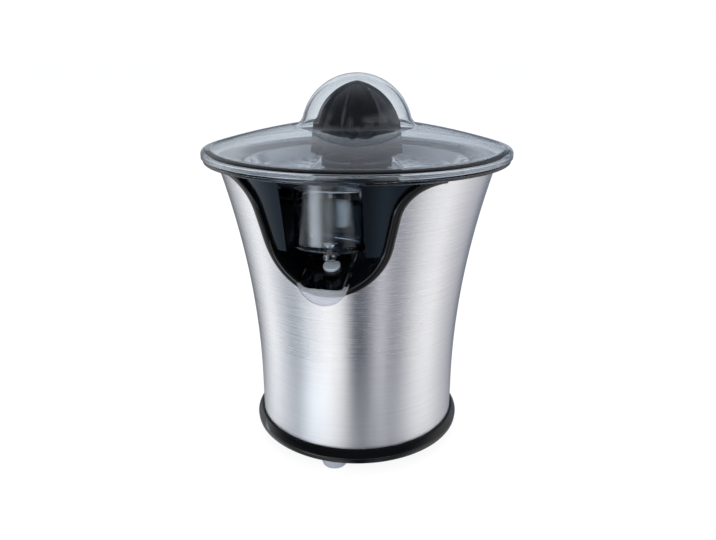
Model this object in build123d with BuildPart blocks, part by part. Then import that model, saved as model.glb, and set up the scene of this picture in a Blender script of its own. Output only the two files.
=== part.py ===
from build123d import *
import math
import os

# Electric citrus juicer, in millimetres. Z is up, the floor is Z = 0, the shaft runs along Z and the spout
# looks towards -Y.

# Steel housing: a straight foot that flares upwards on one large arc
body_radius = 68.6
flare_start = 40.0
flare_radius = 553.0
steel_thickness = 1.0
steel_bottom = 12.0
steel_top = 194.4

# Front cut-out of the housing: round bottom, leaning sides and a flared mouth that meets the top edge
notch_depth = 69.1
notch_radius = 39.5
notch_flare_radius = 25.3
notch_lean = 2.5
notch_lip_drop = 0.9

# Trim round the cut-out's edge
trim_width = 4.0
trim_proud = 1.4
trim_overlap = 0.9
trim_gap = 0.1

# Black inner housing: tub, deck, pocket behind the cut-out, columns for the foot screws
tub_wall = 2.0
wall_gap = 0.3
cap_thickness = 0.8
cap_reach = 2.0
deck_thickness = 3.0
pocket_wall = 2.0
panel_drop = 2.0
column_radius = 3.6
column_gap = 3.2
chimney_radius = 11.0
chimney_height = 12.0

# Fits: running shafts, screws in their holes, pieces that rest on one another
running_gap = 0.05
screw_gap = 0.05
fixed_gap = 0.02
seat_gap = 0.3

# Base ring, base plate and feet
ring_proud = 4.5
ring_height = 8.8
ring_rounding = 3.0
ring_lip = 0.8
ring_ledge_height = 2.0
plate_thickness = 3.0
foot_count = 3
foot_radius = 10.0
foot_sole_radius = 7.8
foot_height = 7.4
foot_recess_radius = 4.2
foot_recess_depth = 4.0
vent_ring_radius = 34.0
vent_count = 24
vent_length = 16.0
vent_width = 3.0

# Screws
foot_screw_radius = 1.9
foot_screw_length = 20.0
foot_screw_head_radius = 3.6
screw_head_height = 1.8
small_screw_radius = 1.4
small_screw_head_radius = 2.6

# Cord inlet at the back
inlet_height = 26.0
inlet_bore_radius = 3.6
inlet_neck_radius = 6.0
inlet_flange_radius = 8.0
inlet_flange_thickness = 2.6

# Juice bowl
bowl_wall = 2.2
bowl_depth = 16.3
bowl_taper = 0.6
bowl_side_gap = 5.2
bowl_flange_thickness = 2.9
bowl_clearance = 3.0
rim_overhang = 9.0
rim_rounding = 1.1
rim_rib_width = 2.2
rim_rib_height = 2.0
hub_radius = 23.4
hub_hole_radius = 7.0
hub_drop = 0.5

# Oval outlet chute under the bowl, its nozzle and the ears that carry the spout
chute_reach = 66.3
chute_half_width = 21.5
chute_half_depth = 12.7
chute_lip = 1.0
chute_lip_height = 2.0
chute_slot_gap = 1.5
chute_dish_depth = 3.0
chute_dish_inset = 7.0
nozzle_radius = 6.2
nozzle_bore_radius = 4.5
ear_radius = 3.4
ear_thickness = 2.2
ear_gap = 0.6
pivot_radius = 2.0
pivot_reach = 52.0
pivot_drop = 4.5

# Spout, drawn about its pivot: forward along its floor and square to it
spout_angle = 20.0
spout_corner = 7.0
spout_half_width = 15.8
spout_wall = 1.8
spout_floor_drop = 5.2
spout_side_height = 5.4
spout_back = 3.4
spout_trim_gap = 0.9
tongue_gap = 2.9
tongue_drop = 11.6
spout_front_height = 2.6

# Drip plug in the spout's floor
plug_forward = 12.5
plug_radius = 5.2
plug_height = 1.8
plug_edge = 0.9
plug_stem_radius = 2.1
plug_bulb_radius = 3.2
plug_bulb_height = 1.5

# Strainer
strainer_thickness = 1.0
strainer_inset = 5.2
strainer_pocket_depth = 1.6
strainer_ledge_width = 3.4
strainer_ledge_drop = 3.9
strainer_side_gap = 0.6
strainer_flat = 4.0
strainer_dish_depth = 5.7
strainer_slope_run = 4.6
strainer_hub_gap = 0.6
collar_slope_run = 7.0
collar_rise = 4.6
slot_length = 4.8
slot_width = 1.9
slot_ring_step = 6.4
slot_ring_start = 0.75
slot_spacing = 11.0

# Cones
press_travel = 2.0
cone_gap = 1.2
small_cone_height = 38.4
small_cone_radius = 20.6
small_cone_skirt_radius = 22.4
small_cone_shoulder = 9.0
large_cone_height = 46.8
large_cone_radius = 29.2
large_cone_skirt_radius = 30.5
large_cone_shoulder = 14.6
large_cone_drop = 0.8
cone_bulge = 0.172
cone_wall = 2.2
rib_height = 1.7
rib_width = 2.4
long_rib_count = 8
short_rib_share = 0.55
small_rib_count = 8
fin_width = 1.6
fin_count = 4

# Lid: a dome on a sloping brim, with a skirt round the bowl's rim
lid_wall = 2.0
lid_skirt_overhang = 1.1
lid_skirt_wall = 1.9
lid_skirt_height = 1.9
lid_lip_radius = 93.6
lid_lip_rise = 5.9
lid_brim_radius = 41.3
lid_brim_rise = 17.9
lid_brim_crown = 0.9
dome_radius = 36.2
dome_rise = 14.1
dome_foot_angle = 15.0

# Drive shaft, its bushes and its seal
shaft_radius = 5.0
shaft_hex_across = 8.5
shaft_hex_length = 18.0
shaft_shoulder_rise = 0.8
hex_gap = 0.15
bush_wall = 2.5
lower_bush_length = 8.0
upper_bush_length = 12.0
seal_radius = 8.6
seal_height = 3.0
drive_pin_radius = 1.5

# Gear train: two equal steps of pinion and wheel
pinion_teeth = 12
wheel_teeth = 54
motor_module = 0.7
output_module = 0.9
pressure_angle = 25.0
addendum = 0.9
dedendum = 1.2
backlash = 0.16
flank_shares = (0, 0.3, 0.65, 1)
motor_gear_width = 7.0
output_gear_width = 9.0
idler_pinion_width = 20.0
output_gear_lift = 8.0
gear_hub_radius = 9.0
gear_hub_length = 13.0
idler_pin_radius = 2.5

# Gearbox tray and cover
gearbox_height = 43.0
gearbox_floor = 3.0
gearbox_cover_thickness = 3.0
gearbox_wall = 2.0
gearbox_tooth_gap = 1.0
gear_floor_gap = 3.0
boss_radius = 4.0
gearbox_boss_angles = (-20.0, 200.0)

# Motor
motor_radius = 24.0
motor_gap = 5.6
motor_can_length = 70.0
motor_can_wall = 1.5
end_bell_height = 8.0
motor_boss_radius = 7.0
motor_boss_length = 3.0
motor_shaft_radius = 2.5
bearing_radius = 5.0
bearing_length = 6.0
magnet_thickness = 3.0
magnet_arc = 130.0
magnet_length = 50.0
air_gap = 0.8
core_length = 40.0
core_slots = 10
core_slot_width = 2.6
core_slot_depth = 9.0
winding_length = 7.0
commutator_radius = 7.5
commutator_length = 6.0
brush_card_thickness = 1.2
brush_size = 4.0
brush_length = 7.0
brush_gap = 0.2
motor_screw_spread = 11.0

# Press-to-start switch under the shaft
plunger_radius = 8.7
plunger_head = 4.0
plunger_stem_radius = 2.0
plunger_stem_length = 21.0
guide_wall = 2.0
guide_floor = 2.0
bracket_flange = 3.0
bracket_ear_reach = 18.0
bracket_ear_radius = 5.0
spring_length = 16.0
spring_radius = 6.2
spring_wire_radius = 0.6
spring_turns = 5
switch_length = 20.0
switch_width = 6.8
switch_height = 11.0
switch_button_length = 3.2
switch_button_width = 3.6
switch_button_rise = 3.8
switch_button_depth = 4.4
switch_screw_spread = 6.5
tongue_thickness = 2.0

# Rectifier board on the base plate
board_length = 40.0
board_width = 24.0
board_thickness = 1.6
board_post_height = 5.0
board_post_radius = 3.2
board_reach = 30.0
board_post_spread = 14.4
capacitor_size = (18.0, 9.0, 14.0)
bridge_size = (11.0, 4.0, 12.0)

# Heights and radii that follow from the sizes above
full_turn = 360.0
front_angle = -90.0
through = 400.0
inner_offset = -steel_thickness - wall_gap
tub_offset = inner_offset - tub_wall
notch_bottom = steel_top - notch_depth
cap_top = steel_top + cap_thickness
flange_bottom = cap_top + seat_gap
flange_top = flange_bottom + bowl_flange_thickness
floor_top = flange_bottom - bowl_depth
floor_bottom = floor_top - bowl_wall
deck_top = floor_bottom - bowl_clearance
deck_bottom = deck_top - deck_thickness
hub_top = flange_bottom - hub_drop
lid_bottom = flange_top + seat_gap


def wall_radius(height, offset=0.0):
    """Radius of the housing's surface at a height, moved outwards by an offset."""
    rise = max(height - flare_start, 0.0)
    return body_radius + flare_radius - math.sqrt((flare_radius - offset) ** 2 - rise**2)


top_radius = wall_radius(steel_top)
bowl_radius = wall_radius(steel_top, tub_offset) - bowl_side_gap
rim_radius = top_radius + rim_overhang
strainer_pocket = bowl_radius - bowl_wall - strainer_inset
ledge_radius = strainer_pocket - strainer_ledge_width
ledge_height = flange_bottom - strainer_ledge_drop
small_cone_bottom = hub_top + press_travel + cone_gap
large_cone_bottom = small_cone_bottom - large_cone_drop
column_reach = body_radius - steel_thickness - column_radius - column_gap
ring_bottom = foot_height + seat_gap
ring_top = ring_bottom + ring_height
plate_top = ring_bottom + plate_thickness

# The spout's pivot sits high enough for its floor to clear the trim below it
trim_top = notch_bottom + trim_width
trim_reach = wall_radius(trim_top, trim_proud)
spout_slope = math.radians(spout_angle)
trim_inner_radius = notch_radius - trim_width
corner_rise = trim_inner_radius - math.sqrt(trim_inner_radius**2 - (spout_half_width - spout_corner) ** 2)
pivot_height = trim_top + corner_rise + spout_trim_gap
pivot_height += (trim_reach - pivot_reach) * math.tan(spout_slope)
pivot_height += (spout_floor_drop + spout_wall) / math.cos(spout_slope)
chute_bottom = pivot_height + pivot_drop
nozzle_bottom = pivot_height - spout_floor_drop + plug_height + running_gap * 2
nozzle_reach = pivot_reach + plug_forward
niche_back = pivot_reach - ear_radius - pivot_drop

# Gear centres: the motor stands behind the shaft, and the idler reaches both
motor_step = motor_module * (pinion_teeth + wheel_teeth) / 2
output_step = output_module * (pinion_teeth + wheel_teeth) / 2
motor_reach = body_radius - steel_thickness - motor_gap - motor_radius
motor_centre = Vector(0, motor_reach)
idler_turn = math.acos(
    (output_step**2 + motor_reach**2 - motor_step**2) / (2 * output_step * motor_reach)
)
idler_centre = Vector(output_step * math.sin(idler_turn), output_step * math.cos(idler_turn))
gearbox_bottom = deck_bottom - gearbox_height
gear_base = gearbox_bottom + gearbox_floor + gear_floor_gap
cover_bottom = deck_bottom - gearbox_cover_thickness
wheel_top = gear_base + motor_gear_width
output_gear_bottom = wheel_top + output_gear_lift
shaft_bottom = gearbox_bottom - plunger_head - seat_gap
shaft_shoulder = small_cone_bottom + shaft_shoulder_rise
guide_bottom = shaft_bottom - seat_gap - plunger_head - spring_length - guide_floor


def draw_wall(bottom, top, offset):
    """Adds the housing's curve between two heights to the line being drawn."""
    start = max(bottom, flare_start)
    middle = (start + top) / 2
    if bottom < flare_start:
        Line((body_radius + offset, bottom), (body_radius + offset, flare_start))
    ThreePointArc(
        (wall_radius(start, offset), start),
        (wall_radius(middle, offset), middle),
        (wall_radius(top, offset), top),
    )


def wall_section(bottom, top, outer, inner):
    """Section of a wall that follows the housing between two offsets from its surface."""
    with BuildSketch(Plane.XZ) as section:
        with BuildLine():
            draw_wall(bottom, top, outer)
            Line((wall_radius(top, outer), top), (wall_radius(top, inner), top))
            draw_wall(bottom, top, inner)
            Line((wall_radius(bottom, inner), bottom), (wall_radius(bottom, outer), bottom))
        make_face()
    return section.sketch


def core_section(bottom, top, offset):
    """Section of everything inside the housing up to an offset from its surface."""
    with BuildSketch(Plane.XZ) as section:
        with BuildLine():
            draw_wall(bottom, top, offset)
            Polyline(
                (wall_radius(top, offset), top), (0, top), (0, bottom), (wall_radius(bottom, offset), bottom)
            )
        make_face()
    return section.sketch


def notch_outline(margin):
    """Front view of the cut-out, shrunk inwards by a margin and open above the housing."""
    bottom_radius = notch_radius - margin
    mouth_radius = notch_flare_radius + margin
    bottom_centre = Vector(0, notch_bottom + notch_radius)
    mouth_centre = Vector(
        notch_radius + notch_flare_radius + notch_lean, steel_top - notch_lip_drop - notch_flare_radius
    )
    between = mouth_centre - bottom_centre
    lean = math.acos((bottom_radius + mouth_radius) / between.length)
    normal_angle = math.atan2(between.Y, between.X) - lean
    normal = Vector(math.cos(normal_angle), math.sin(normal_angle))
    side_foot = bottom_centre + normal * bottom_radius
    side_head = mouth_centre - normal * mouth_radius
    half_angle = (normal_angle + math.pi * 3 / 2) / 2
    mouth_middle = mouth_centre + Vector(math.cos(half_angle), math.sin(half_angle)) * mouth_radius
    mouth_end = mouth_centre + Vector(0, mouth_radius)
    with BuildSketch(Plane.XZ) as outline:
        with BuildLine():
            bottom = bottom_centre - Vector(0, bottom_radius)
            ThreePointArc((-side_foot.X, side_foot.Y), (bottom.X, bottom.Y), (side_foot.X, side_foot.Y))
            for side in (-1, 1):
                Line((side * side_foot.X, side_foot.Y), (side * side_head.X, side_head.Y))
                ThreePointArc(
                    (side * side_head.X, side_head.Y),
                    (side * mouth_middle.X, mouth_middle.Y),
                    (side * mouth_end.X, mouth_end.Y),
                )
                Line((side * mouth_end.X, mouth_end.Y), (side * mouth_end.X, mouth_end.Y + notch_depth))
            Line((-mouth_end.X, mouth_end.Y + notch_depth), (mouth_end.X, mouth_end.Y + notch_depth))
        make_face()
    return outline.sketch


def ring_section(points):
    """Closed section in the XZ plane, ready to turn about the shaft's axis."""
    with BuildSketch(Plane.XZ) as section:
        with BuildLine():
            Polyline(*points, close=True)
        make_face()
    return section.sketch


def finish(builder, name):
    """Names a finished piece and writes it."""
    builder.part.label = name
    export_step(builder.part, f"parts/{name}.step")


# Steel housing, open at the front for the spout and drilled at the back for the cord
inlet_plane = Plane(origin=(0, 0, inlet_height), x_dir=(1, 0, 0), z_dir=(0, 1, 0))
with BuildPart() as steel_housing:
    revolve(wall_section(steel_bottom, steel_top, 0, -steel_thickness), Axis.Z)
    extrude(notch_outline(0), amount=through, mode=Mode.SUBTRACT)
    with BuildSketch(inlet_plane):
        Circle(inlet_neck_radius + trim_gap)
    extrude(amount=through, mode=Mode.SUBTRACT)
finish(steel_housing, "steel_housing")

# Edge trim: fills the cut-out's edge and laps over the steel's face
with BuildPart() as steel_clearance:
    revolve(wall_section(steel_bottom, steel_top, trim_gap, -steel_thickness - trim_gap), Axis.Z)
    extrude(notch_outline(trim_gap), amount=through, mode=Mode.SUBTRACT)
with BuildPart() as edge_trim:
    revolve(wall_section(flare_start, steel_top, trim_proud, -steel_thickness), Axis.Z)
    with BuildSketch(Plane.XZ) as trim_band:
        add(notch_outline(-trim_overlap))
        add(notch_outline(trim_width), mode=Mode.SUBTRACT)
    extrude(trim_band.sketch, amount=through, mode=Mode.INTERSECT)
    add(steel_clearance.part, mode=Mode.SUBTRACT)
finish(edge_trim, "edge_trim")

# Black inner housing: tub for the bowl with a slot for its chute between two panels, deck, pocket, screw columns
lower_bush_radius = shaft_radius + running_gap + bush_wall
chute_slot_width = (chute_half_width + chute_lip + chute_slot_gap) * 2
panel_bottom = chute_bottom - panel_drop
with BuildPart() as niche_pocket:
    revolve(core_section(flare_start, deck_top, inner_offset), Axis.Z)
    with BuildSketch(Plane.XZ.offset(niche_back - pocket_wall)):
        add(notch_outline(trim_width - pocket_wall))
    extrude(amount=through, mode=Mode.INTERSECT)
with BuildPart() as panel_hollows:
    revolve(core_section(panel_bottom + pocket_wall, deck_bottom, inner_offset - pocket_wall), Axis.Z)
    with BuildSketch(Plane.XZ.offset(niche_back - pocket_wall)):
        add(notch_outline(trim_width))
        Rectangle(chute_slot_width + pocket_wall * 2, through, mode=Mode.SUBTRACT)
    extrude(amount=through, mode=Mode.INTERSECT)
with BuildPart() as upper_housing:
    revolve(wall_section(deck_bottom, steel_top, inner_offset, tub_offset), Axis.Z)
    with BuildSketch(Plane.XY.offset(steel_top)):
        Circle(top_radius)
        Circle(top_radius - steel_thickness - wall_gap - cap_reach, mode=Mode.SUBTRACT)
    extrude(amount=cap_thickness)
    with BuildSketch(Plane.XY.offset(deck_bottom)):
        Circle(wall_radius(deck_bottom, inner_offset))
    extrude(amount=deck_thickness)
    with BuildSketch(Plane.XY.offset(deck_top)):
        Circle(chimney_radius)
    extrude(amount=chimney_height)
    with BuildSketch(Plane.XY.offset(plate_top)):
        with PolarLocations(column_reach, foot_count, start_angle=front_angle):
            Circle(column_radius)
    extrude(amount=deck_bottom - plate_top)
    add(niche_pocket.part)
    with BuildSketch(Plane.XZ.offset(niche_back)):
        add(notch_outline(trim_width))
        with Locations((0, panel_bottom)):
            Rectangle(through, through, align=(Align.CENTER, Align.MIN), mode=Mode.SUBTRACT)
            Rectangle(chute_slot_width, notch_depth, align=(Align.CENTER, Align.MIN))
    extrude(amount=through, mode=Mode.SUBTRACT)
    add(panel_hollows.part, mode=Mode.SUBTRACT)
    with BuildSketch(Plane.XY.offset(deck_bottom)):
        Circle(lower_bush_radius + fixed_gap)
    extrude(amount=through, mode=Mode.SUBTRACT)
    with BuildSketch(Plane.XY.offset(deck_top + chimney_height - seal_height)):
        Circle(seal_radius + fixed_gap)
    extrude(amount=through, mode=Mode.SUBTRACT)
    with BuildSketch(Plane.XY.offset(plate_top)):
        with PolarLocations(column_reach, foot_count, start_angle=front_angle):
            Circle(foot_screw_radius + screw_gap)
    extrude(amount=foot_screw_length, mode=Mode.SUBTRACT)

# Gearbox outline seen from above: round the output gear, the idler wheel and the motor pinion
output_wheel_radius = output_module * (wheel_teeth / 2 + addendum)
idler_wheel_radius = motor_module * (wheel_teeth / 2 + addendum)
motor_room = motor_screw_spread + small_screw_head_radius
bracket_ears = [Vector(side * bracket_ear_reach, 0) for side in (-1, 1)]


def gearbox_outline(margin):
    """Gearbox seen from above, with a margin round its gears."""
    with BuildSketch() as outline:
        Circle(output_wheel_radius + margin)
        with Locations(idler_centre):
            Circle(idler_wheel_radius + margin)
        with Locations(motor_centre):
            Circle(motor_room + margin)
        make_hull()
    return outline.sketch


boss_reach = output_wheel_radius + gearbox_tooth_gap + gearbox_wall + boss_radius / 2
boss_centres = [
    Vector(boss_reach * math.cos(math.radians(angle)), boss_reach * math.sin(math.radians(angle)))
    for angle in gearbox_boss_angles
]
idler_boss_reach = idler_wheel_radius + gearbox_tooth_gap + gearbox_wall + boss_radius / 2
boss_centres.append(idler_centre + Vector(idler_boss_reach, 0))
with upper_housing:
    with BuildSketch(Plane.XY.offset(deck_bottom)):
        with Locations(*boss_centres):
            Circle(small_screw_radius + screw_gap)
    extrude(amount=deck_thickness, mode=Mode.SUBTRACT)
finish(upper_housing, "upper_housing")

# Base ring: a rounded bead that takes the steel's lower edge in a groove
ring_radius = body_radius + ring_proud
ring_inner = body_radius - steel_thickness - wall_gap - ring_lip
ledge_inner = column_reach + column_radius + wall_gap
with BuildPart() as base_ring:
    with BuildSketch(Plane.XZ) as ring_profile:
        with BuildLine():
            Polyline(
                (ring_inner, ring_bottom),
                (ring_radius, ring_bottom),
                (ring_radius, ring_top),
                (body_radius + wall_gap, ring_top),
                (body_radius + wall_gap, steel_bottom - wall_gap),
                (ring_inner + ring_lip, steel_bottom - wall_gap),
                (ring_inner + ring_lip, ring_top),
                (ring_inner, ring_top),
                (ring_inner, plate_top + wall_gap + ring_ledge_height),
                (ledge_inner, plate_top + wall_gap + ring_ledge_height),
                (ledge_inner, plate_top + wall_gap),
                (ring_inner, plate_top + wall_gap),
                close=True,
            )
        make_face()
        fillet(ring_profile.vertices().group_by(Axis.X)[-1], ring_rounding)
    revolve(axis=Axis.Z)
finish(base_ring, "base_ring")

# Base plate with its vents, its foot-screw holes and two posts for the board
board_height = plate_top + board_post_height
board_posts = [Vector(side * board_post_spread, -board_reach) for side in (-1, 1)]
with BuildPart() as base_plate:
    with BuildSketch(Plane.XY.offset(ring_bottom)):
        Circle(ring_inner - wall_gap)
        with PolarLocations(vent_ring_radius, vent_count):
            SlotOverall(vent_length, vent_width, mode=Mode.SUBTRACT)
        with PolarLocations(column_reach, foot_count, start_angle=front_angle):
            Circle(foot_screw_radius + wall_gap, mode=Mode.SUBTRACT)
    extrude(amount=plate_thickness)
    with BuildSketch(Plane.XY.offset(ring_bottom)):
        with Locations(*board_posts):
            Circle(board_post_radius)
    extrude(amount=board_height - ring_bottom)
    with BuildSketch(Plane.XY.offset(plate_top)):
        with Locations(*board_posts):
            Circle(small_screw_radius + screw_gap)
    extrude(amount=through, mode=Mode.SUBTRACT)
finish(base_plate, "base_plate")

# Rubber feet, each held by a screw through its middle
foot_taper = math.degrees(math.atan2(foot_radius - foot_sole_radius, foot_height))
with BuildPart() as rubber_feet:
    with BuildSketch():
        with PolarLocations(column_reach, foot_count, start_angle=front_angle):
            Circle(foot_sole_radius)
    extrude(amount=foot_height, taper=-foot_taper)
    with BuildSketch():
        with PolarLocations(column_reach, foot_count, start_angle=front_angle):
            Circle(foot_recess_radius)
    extrude(amount=foot_recess_depth, mode=Mode.SUBTRACT)
    with BuildSketch():
        with PolarLocations(column_reach, foot_count, start_angle=front_angle):
            Circle(foot_screw_radius + wall_gap)
    extrude(amount=foot_height, mode=Mode.SUBTRACT)
finish(rubber_feet, "rubber_feet")

with BuildPart() as foot_screws:
    with BuildSketch(Plane.XY.offset(foot_recess_depth)):
        with PolarLocations(column_reach, foot_count, start_angle=front_angle):
            Circle(foot_screw_head_radius)
    extrude(amount=-screw_head_height)
    with BuildSketch(Plane.XY.offset(foot_recess_depth)):
        with PolarLocations(column_reach, foot_count, start_angle=front_angle):
            Circle(foot_screw_radius)
    extrude(amount=foot_screw_length)
finish(foot_screws, "foot_screws")

# Cord inlet: a rubber bush with a flange on each side of the steel
inlet_outside = body_radius + trim_gap
inlet_inside = math.sqrt((body_radius - steel_thickness) ** 2 - inlet_flange_radius**2) - trim_gap
with BuildPart() as cord_inlet:
    with BuildSketch(inlet_plane.offset(inlet_inside - inlet_flange_thickness)):
        Circle(inlet_neck_radius)
    extrude(amount=inlet_outside - inlet_inside + inlet_flange_thickness * 2)
    for face_at in (inlet_inside - inlet_flange_thickness, inlet_outside):
        with BuildSketch(inlet_plane.offset(face_at)):
            Circle(inlet_flange_radius)
        extrude(amount=inlet_flange_thickness)
    with BuildSketch(inlet_plane):
        Circle(inlet_bore_radius)
    extrude(amount=through, mode=Mode.SUBTRACT)
finish(cord_inlet, "cord_inlet")

# Clear juice bowl: flange and rib at the rim, ledge for the strainer, raised hub, oval chute and spout ears
bowl_floor_radius = ledge_radius - bowl_taper
rib_outer = rim_radius + lid_skirt_overhang - lid_skirt_wall - wall_gap
spout_forward = Vector(0, -math.cos(spout_slope), -math.sin(spout_slope))
pivot_point = Vector(0, -pivot_reach, pivot_height)
spout_side = Plane(origin=pivot_point, x_dir=spout_forward, z_dir=(-1, 0, 0))
ear_inner = spout_half_width + ear_gap
with BuildPart() as juice_bowl:
    with BuildSketch(Plane.XY.offset(chute_bottom)):
        with Locations((0, -chute_reach)):
            Ellipse(chute_half_width, chute_half_depth)
    extrude(amount=flange_bottom + bowl_wall / 2 - chute_bottom)
    bowl_room = [
        (0, floor_top),
        (bowl_floor_radius + bowl_wall / 2, floor_top),
        (ledge_radius + bowl_wall / 2, ledge_height - bowl_wall),
        (strainer_pocket + bowl_wall / 2, ledge_height - bowl_wall / 2),
        (bowl_radius - bowl_wall / 2, flange_bottom),
        (bowl_radius - bowl_wall / 2, flange_top),
        (0, flange_top),
    ]
    revolve(ring_section(bowl_room), Axis.Z, mode=Mode.SUBTRACT)
    with BuildSketch(Plane.XZ) as bowl_profile:
        with BuildLine():
            Polyline(
                (rim_radius, flange_bottom),
                (rim_radius, flange_top),
                (rib_outer, flange_top),
                (rib_outer, flange_top + rim_rib_height),
                (rib_outer - rim_rib_width, flange_top + rim_rib_height),
                (rib_outer - rim_rib_width, flange_top),
                (bowl_radius - bowl_wall, flange_top),
                (strainer_pocket, ledge_height + strainer_pocket_depth),
                (strainer_pocket, ledge_height),
                (ledge_radius, ledge_height),
                (bowl_floor_radius, floor_top),
                (hub_radius, floor_top),
                (hub_radius, hub_top),
                (hub_hole_radius, hub_top),
                (hub_hole_radius, hub_top - bowl_wall),
                (hub_radius - bowl_wall, hub_top - bowl_wall),
                (hub_radius - bowl_wall, floor_bottom),
                (bowl_floor_radius + bowl_wall / 2, floor_bottom),
                (ledge_radius + bowl_wall, ledge_height - bowl_wall * 2),
                (strainer_pocket + bowl_wall, ledge_height - bowl_wall / 2),
                (bowl_radius, flange_bottom),
                close=True,
            )
        make_face()
        fillet(bowl_profile.vertices().group_by(Axis.X)[-1], rim_rounding)
    revolve(axis=Axis.Z)
    with BuildSketch(Plane.XY.offset(chute_bottom)):
        with Locations((0, -chute_reach)):
            Ellipse(chute_half_width + chute_lip, chute_half_depth + chute_lip)
    extrude(amount=chute_lip_height)
    with BuildSketch(Plane.XY.offset(chute_bottom)):
        with Locations((0, -chute_reach)):
            Ellipse(chute_half_width, chute_half_depth)
    with BuildSketch(Plane.XY.offset(chute_bottom - chute_dish_depth)):
        with Locations((0, -chute_reach)):
            Ellipse(chute_half_width - chute_dish_inset, chute_half_depth - chute_dish_inset)
    loft()
    for side in (-1, 1):
        with BuildSketch(Plane.YZ.offset(side * ear_inner)):
            with Locations((-pivot_reach, pivot_height)):
                Circle(ear_radius)
            with BuildLine():
                Polyline(
                    (-pivot_reach + ear_radius, pivot_height),
                    (-pivot_reach + ear_radius, floor_bottom + bowl_wall / 2),
                    (-chute_reach, floor_bottom + bowl_wall / 2),
                    (-chute_reach, chute_bottom + chute_lip_height),
                    (-pivot_reach - ear_radius, chute_bottom + chute_lip_height),
                    (-pivot_reach - ear_radius, pivot_height),
                    close=True,
                )
            make_face()
        extrude(amount=side * ear_thickness)
    with BuildSketch(Plane.XY.offset(chute_bottom + bowl_wall)):
        with Locations((0, -chute_reach)):
            Ellipse(chute_half_width - bowl_wall, chute_half_depth - bowl_wall)
    extrude(amount=ledge_height - bowl_wall * 2 - chute_bottom - bowl_wall, mode=Mode.SUBTRACT)
    with BuildSketch(Plane.XY.offset(nozzle_bottom)):
        with Locations((0, -nozzle_reach)):
            Circle(nozzle_radius)
    extrude(amount=chute_bottom + bowl_wall - nozzle_bottom)
    with BuildSketch(Plane.XY.offset(nozzle_bottom)):
        with Locations((0, -nozzle_reach)):
            Circle(nozzle_bore_radius)
    extrude(amount=chute_bottom + bowl_wall - nozzle_bottom, mode=Mode.SUBTRACT)
    with BuildSketch(spout_side):
        Circle(pivot_radius + running_gap)
    extrude(amount=through, both=True, mode=Mode.SUBTRACT)
finish(juice_bowl, "juice_bowl")

# Spout, at rest tipped down: a trough with rounded corners, a closed back and a half-round tongue
tongue_front = trim_reach + tongue_gap + spout_wall
floor_line = -spout_floor_drop
side_top = floor_line + spout_side_height
spout_bend = (tongue_front - pivot_reach) / math.cos(spout_slope) + floor_line * math.tan(spout_slope)
spout_up = Vector(0, -math.sin(spout_slope), math.cos(spout_slope))
bend_height = (pivot_point + spout_forward * spout_bend + spout_up * floor_line).Z
trough_back = Plane(origin=pivot_point - spout_forward * spout_back, x_dir=(1, 0, 0), z_dir=spout_forward)


def trough_section(plane, half_width, bottom, top, corner):
    """Trough seen along its length: upright sides and rounded lower corners."""
    with BuildSketch(plane) as section:
        with BuildLine():
            Polyline(
                (-half_width, top), (-half_width, bottom), (half_width, bottom), (half_width, top), close=True
            )
        make_face()
        fillet(section.vertices().group_by(Axis.Y)[0], corner)
    return section.sketch


with BuildPart() as spout:
    extrude(
        trough_section(trough_back, spout_half_width, floor_line - spout_wall, side_top, spout_corner),
        amount=spout_back + spout_bend + spout_wall * 2,
    )
    with BuildSketch(Plane.XZ.offset(tongue_front)):
        with Locations((0, pivot_height)):
            Rectangle(through, through)
    extrude(amount=through, mode=Mode.SUBTRACT)
    with BuildSketch(Plane.XZ.offset(tongue_front - spout_wall)):
        with Locations((0, bend_height - tongue_drop + spout_half_width)):
            Circle(spout_half_width)
            Rectangle(through, through, align=(Align.CENTER, Align.MIN), mode=Mode.SUBTRACT)
    extrude(amount=spout_wall)
    extrude(
        trough_section(
            trough_back.offset(spout_wall),
            spout_half_width - spout_wall,
            floor_line,
            side_top + spout_wall,
            spout_corner - spout_wall,
        ),
        amount=through,
        mode=Mode.SUBTRACT,
    )
    with BuildSketch(spout_side):
        with BuildLine():
            Polyline(
                (plug_forward, side_top),
                (spout_bend + spout_wall * 2, floor_line + spout_front_height),
                (spout_bend + spout_wall * 2, side_top),
                close=True,
            )
        make_face()
    extrude(amount=through, both=True, mode=Mode.SUBTRACT)
    for side in (-1, 1):
        with BuildSketch(spout_side.offset(side * (spout_half_width - spout_wall))):
            Circle(ear_radius)
            Rectangle(ear_radius * 2, ear_radius, align=(Align.CENTER, Align.MAX))
        extrude(amount=side * spout_wall)
        with BuildSketch(spout_side.offset(side * (spout_half_width - spout_wall))):
            Circle(pivot_radius)
        extrude(amount=side * (spout_wall + ear_gap + ear_thickness))
    plug_floor = Plane(
        origin=pivot_point + spout_forward * plug_forward,
        x_dir=(1, 0, 0),
        z_dir=(0, -math.sin(spout_slope), math.cos(spout_slope)),
    ).offset(floor_line)
    with BuildSketch(plug_floor):
        Circle(plug_stem_radius + fixed_gap)
    extrude(amount=-spout_wall, mode=Mode.SUBTRACT)
finish(spout, "spout")

# Drip plug: a silicone button through the spout's floor
plug_section = Plane(origin=plug_floor.origin, x_dir=(1, 0, 0), z_dir=spout_forward)
with BuildPart() as drip_plug:
    with BuildSketch(plug_section) as plug_profile:
        with BuildLine():
            Polyline(
                (0, plug_height),
                (plug_radius - plug_edge, plug_height),
                (plug_radius, plug_height - plug_edge),
                (plug_radius, fixed_gap),
                (plug_stem_radius, fixed_gap),
                (plug_stem_radius, -spout_wall - fixed_gap),
                (plug_bulb_radius, -spout_wall - fixed_gap),
                (plug_stem_radius, -spout_wall - plug_bulb_height),
                (0, -spout_wall - plug_bulb_height),
                close=True,
            )
        make_face()
    revolve(axis=Axis(plug_floor.origin, plug_floor.z_dir))
finish(drip_plug, "drip_plug")

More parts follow.
